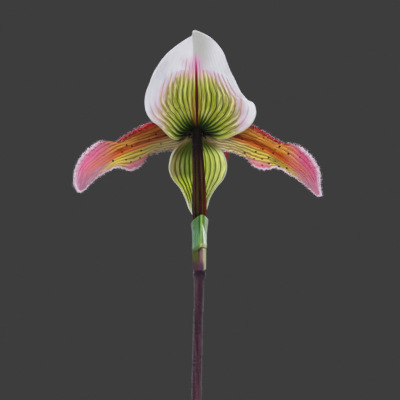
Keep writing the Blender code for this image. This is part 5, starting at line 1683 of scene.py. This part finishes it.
def chip_shape(name, draw, length, width, thickness):
    """One bark chip: an uneven slab with broken edges."""
    sides = 7
    turn = (np.arange(sides) + draw.uniform(-0.3, 0.3, sides)) * FULL_TURN / sides
    reach = draw.uniform(0.78, 1.12, sides)
    points = []
    for height, share in CHIP_SECTION:
        jitter = draw.uniform(-0.1, 0.1, (sides, 3))
        x = (reach * share + jitter[:, 0]) * np.cos(turn) * length / 2
        y = (reach * share + jitter[:, 1]) * np.sin(turn) * width / 2
        points.append(stacked(x, y, (height + jitter[:, 2]) * thickness))
    faces = ring_faces(len(CHIP_SECTION), sides)
    return outward(add_object(name, np.concatenate(points), faces, smooth=False))


def make_mix(material):
    """The bark mix: a dark plug that fills the pot, under a bed of loose chips and crumbs."""
    draw = np.random.default_rng(11)
    floor, low = POT_FLOOR + PLUG_FLOOR_GAP, MIX_TOP - PLUG_DROP
    bevel_top = floor + PLUG_BEVEL_HEIGHT
    well_radius, well_floor = HEAD_RADIUS + WELL_ROOM, MIX_TOP - WELL_DEPTH
    profile = [
        (0.5, floor), (pot_inner_radius(floor) - PLUG_BEVEL, floor),
        (pot_inner_radius(bevel_top) - PLUG_GAP, bevel_top),
        (pot_inner_radius(MIX_TOP - 1.5) - PLUG_GAP, low),
        *((radius, low + 0.5 * math.sin(radius)) for radius in (44.0, 40.0, 36.0, 30.0, 24.0, 18.0)),
        (well_radius, low), (well_radius, well_floor), (0.5, well_floor),
    ]
    carry(add_turned("crumbly_plug", profile, PLUG_SIDES, material), "bark", "potting_mix")
    pool = bpy.data.collections.new("chip shapes")
    bpy.context.scene.collection.children.link(pool)
    for k in range(CHIP_SHAPES):
        sizes = draw.uniform(8.0, 11.0), draw.uniform(5.0, 7.5), draw.uniform(2.4, 3.8)
        chip = chip_shape(f"chip shape {k}", draw, *sizes)
        bpy.context.scene.collection.objects.unlink(chip)
        pool.objects.link(chip)
    tree = make_chip_tree()
    for layer, (height, inner, outer, spacing, tilt, size, room) in enumerate(BARK_LAYERS):
        turn, radii = ring_angles(BED_SIDES), np.linspace(inner, outer, BED_RINGS)
        points = np.concatenate([around(turn, radius, height) for radius in radii])
        quads = grid_quads(BED_RINGS, BED_SIDES, ring=True)[:, [0, 3, 2, 1]]
        middles = (points[quads[:, 0]] + points[quads[:, 2]])[:, :2] / 2
        clear = np.linalg.norm(middles - SHOOT_PLACE, axis=1) > SHOOT_HEAD_RADIUS + room
        bed = add_object(f"bed {layer}", points, quads[clear].tolist())
        values = {"Spacing": spacing * MM, "Tilt": tilt, "Size": size, "Chips": pool, "Seed": 21 + layer}
        carry(grow(f"bark_layer_{layer + 1}", bed, tree, Material=material, **values), "bark")
    remove_objects(*pool.objects)
    bpy.data.collections.remove(pool)


def make_crown(material):
    """The rhizome's two heads in the mix, ringed by the papery stubs of old leaves."""
    draw = np.random.default_rng(5)
    turn, shapes = ring_angles(CROWN_SIDES), []
    along = np.linspace(0.0, 1.0, SCALE_GRID[0])[:, None]
    across = np.linspace(-1.0, 1.0, SCALE_GRID[1])[None, :]
    # centre, radius and top of each head, its number of stubs, and how tall they stand
    heads = (
        ((0.0, 0.0), HEAD_RADIUS, MIX_TOP + 0.1, 8, 4.6),
        (SHOOT_PLACE, SHOOT_HEAD_RADIUS, MIX_TOP - SHOOT_DROP, 5, 3.6),
    )
    for centre, radius, top, scales, tall in heads:
        rough = 1 - 0.012 * (1 + uneven(turn / FULL_TURN, int(radius), 9.0))
        section = (
            (0.3, 72.3), (0.82, 72.3), (0.99, 76.5), (1.0, 84.0), (1.0, top - 0.7), (0.95, top),
            (0.5, top + 0.02), (0.02, top + 0.03),
        )
        points = np.concatenate([around(turn, radius * share * rough, z, centre) for share, z in section])
        shapes.append((points, ring_faces(len(section), CROWN_SIDES), 0, points))
        for k in range(scales):
            middle = FULL_TURN * (k + draw.uniform(-0.2, 0.2)) / scales
            half = draw.uniform(0.3, 0.55)
            high = tall * draw.uniform(0.5, 1.0)
            ragged = 1 - 0.35 * np.abs(uneven(across, 60 + k, 4.0)) * along
            angle = middle + half * (1 - along**2.2 * 0.75) * across
            reach = radius + 0.35 + 0.1 * (k % 2) + along * draw.uniform(0.3, 1.1)
            reach = reach + 0.15 * across**2 * along
            grid = around(angle, reach, top - 3.0 + (high + 3.0) * along * ragged, centre)
            half_thick = rounded_half(from_margin(grid), 0.16, 0.3, 0.3)
            points, faces = skin_shape(grid, half_thick[..., None])
            shapes.append((points, faces, 1, points))
    carry(join_shapes("papery_crown", shapes, material), "rhizome", "rhizome")


def make_scene_lights():
    """Soft studio light from all round, strongest from the flower's back, as in the photograph."""
    for k, (place, size, power, colour) in enumerate(LAMPS):
        light = bpy.data.lights.new(f"softbox {k + 1}", "AREA")
        light.shape, light.size, light.energy, light.color = "DISK", size, power, colour
        lamp = link_object(f"softbox {k + 1}", light)
        lamp.location = place
        lamp.rotation_euler = (Vector(LAMP_TARGET) - Vector(place)).to_track_quat("-Z", "Y").to_euler()
    world = bpy.data.worlds.new("plain grey")
    world.use_nodes = True
    world.node_tree.nodes["Background"].inputs["Color"].default_value = srgb(*BACKDROP)
    bpy.context.scene.world = world


def make_floor():
    """A round plain floor."""
    rim = around(ring_angles(FLOOR_SIDES), FLOOR_RADIUS, FLOOR_HEIGHT)
    add_object("floor", rim, [list(range(FLOOR_SIDES))], make_floor_material(), smooth=False)


def make_camera():
    """The photograph's view: from behind the flower and a little above, through a long lens."""
    data = bpy.data.cameras.new("camera")
    data.lens, data.sensor_width = 250.0, 36.0
    data.clip_start, data.clip_end = 0.05, 20.0
    camera = link_object("camera", data)
    back = Vector((0.0, -math.cos(CAMERA_TILT), math.sin(CAMERA_TILT)))
    up = Vector((0.0, math.sin(CAMERA_TILT), math.cos(CAMERA_TILT)))
    target = Vector(FLOWER_CENTRE) + Vector((CAMERA_SHIFT, 0.0, 0.0)) - up * CAMERA_DROP
    camera.location = target * MM + back
    camera.rotation_euler = (-back).to_track_quat("-Z", "Y").to_euler()
    bpy.context.scene.camera = camera


def main():
    bpy.context.scene.view_settings.view_transform = "Standard"
    make_camera()
    make_scene_lights()
    make_floor()
    hair = make_mottled_material("pale hair", 0.6, 200.0, (232, 222, 232), (196, 180, 194))
    dull_hair = make_mottled_material("dull hair", 0.6, 200.0, (120, 92, 104), (90, 66, 78))
    petal = make_petal_material()
    wart = make_mottled_material("wart", 0.5, 500.0, (30, 6, 10), (64, 14, 16), specular_ior_level=0.15)
    make_dorsal(make_dorsal_material())
    make_synsepal(make_synsepal_material())
    # The left petal's lower tone darkens it with painted shade, and the right's full tone brightens it with
    # painted highlight; tone also sets some of their own colours
    for name, node, rails, spots, streak, tone, seed in (
        ("petal_one", "petal_left", LEFT_PETAL, LEFT_PETAL_SPOTS, LEFT_STREAK, 0.4, 101),
        ("petal_two", "petal_right", RIGHT_PETAL, RIGHT_PETAL_SPOTS, RIGHT_STREAK, 1.0, 131),
    ):
        make_petal(name, node, rails, spots, streak, tone, seed, petal, hair, wart)
    make_ovary(make_ovary_material(), dull_hair)
    make_stem(make_stalk_material(), hair)
    make_bract(make_bract_material(), hair)
    make_pouch(make_pouch_material())
    make_column(make_column_material())
    leaf = make_leaf_material()
    make_fan("blade", "leaf", MAIN_LEAVES, SHEATH_FIRST_RADIUS, SHEATH_STEP, FAN_TURN, FAN_FOOT, 0.0, leaf)
    shoot = (*SHOOT_PLACE, MIX_TOP - SHOOT_DROP + SHOOT_FOOT_RISE)
    make_fan(
        "shoot_blade", "shoot_leaf", SHOOT_LEAVES, SHOOT_FIRST_RADIUS, SHOOT_SHEATH_STEP, SHOOT_TURN, shoot,
        SHOOT_LEAN, leaf,
    )
    make_pot(make_clay_material())
    make_mix(make_bark_material())
    make_crown(make_rhizome_material())


main()
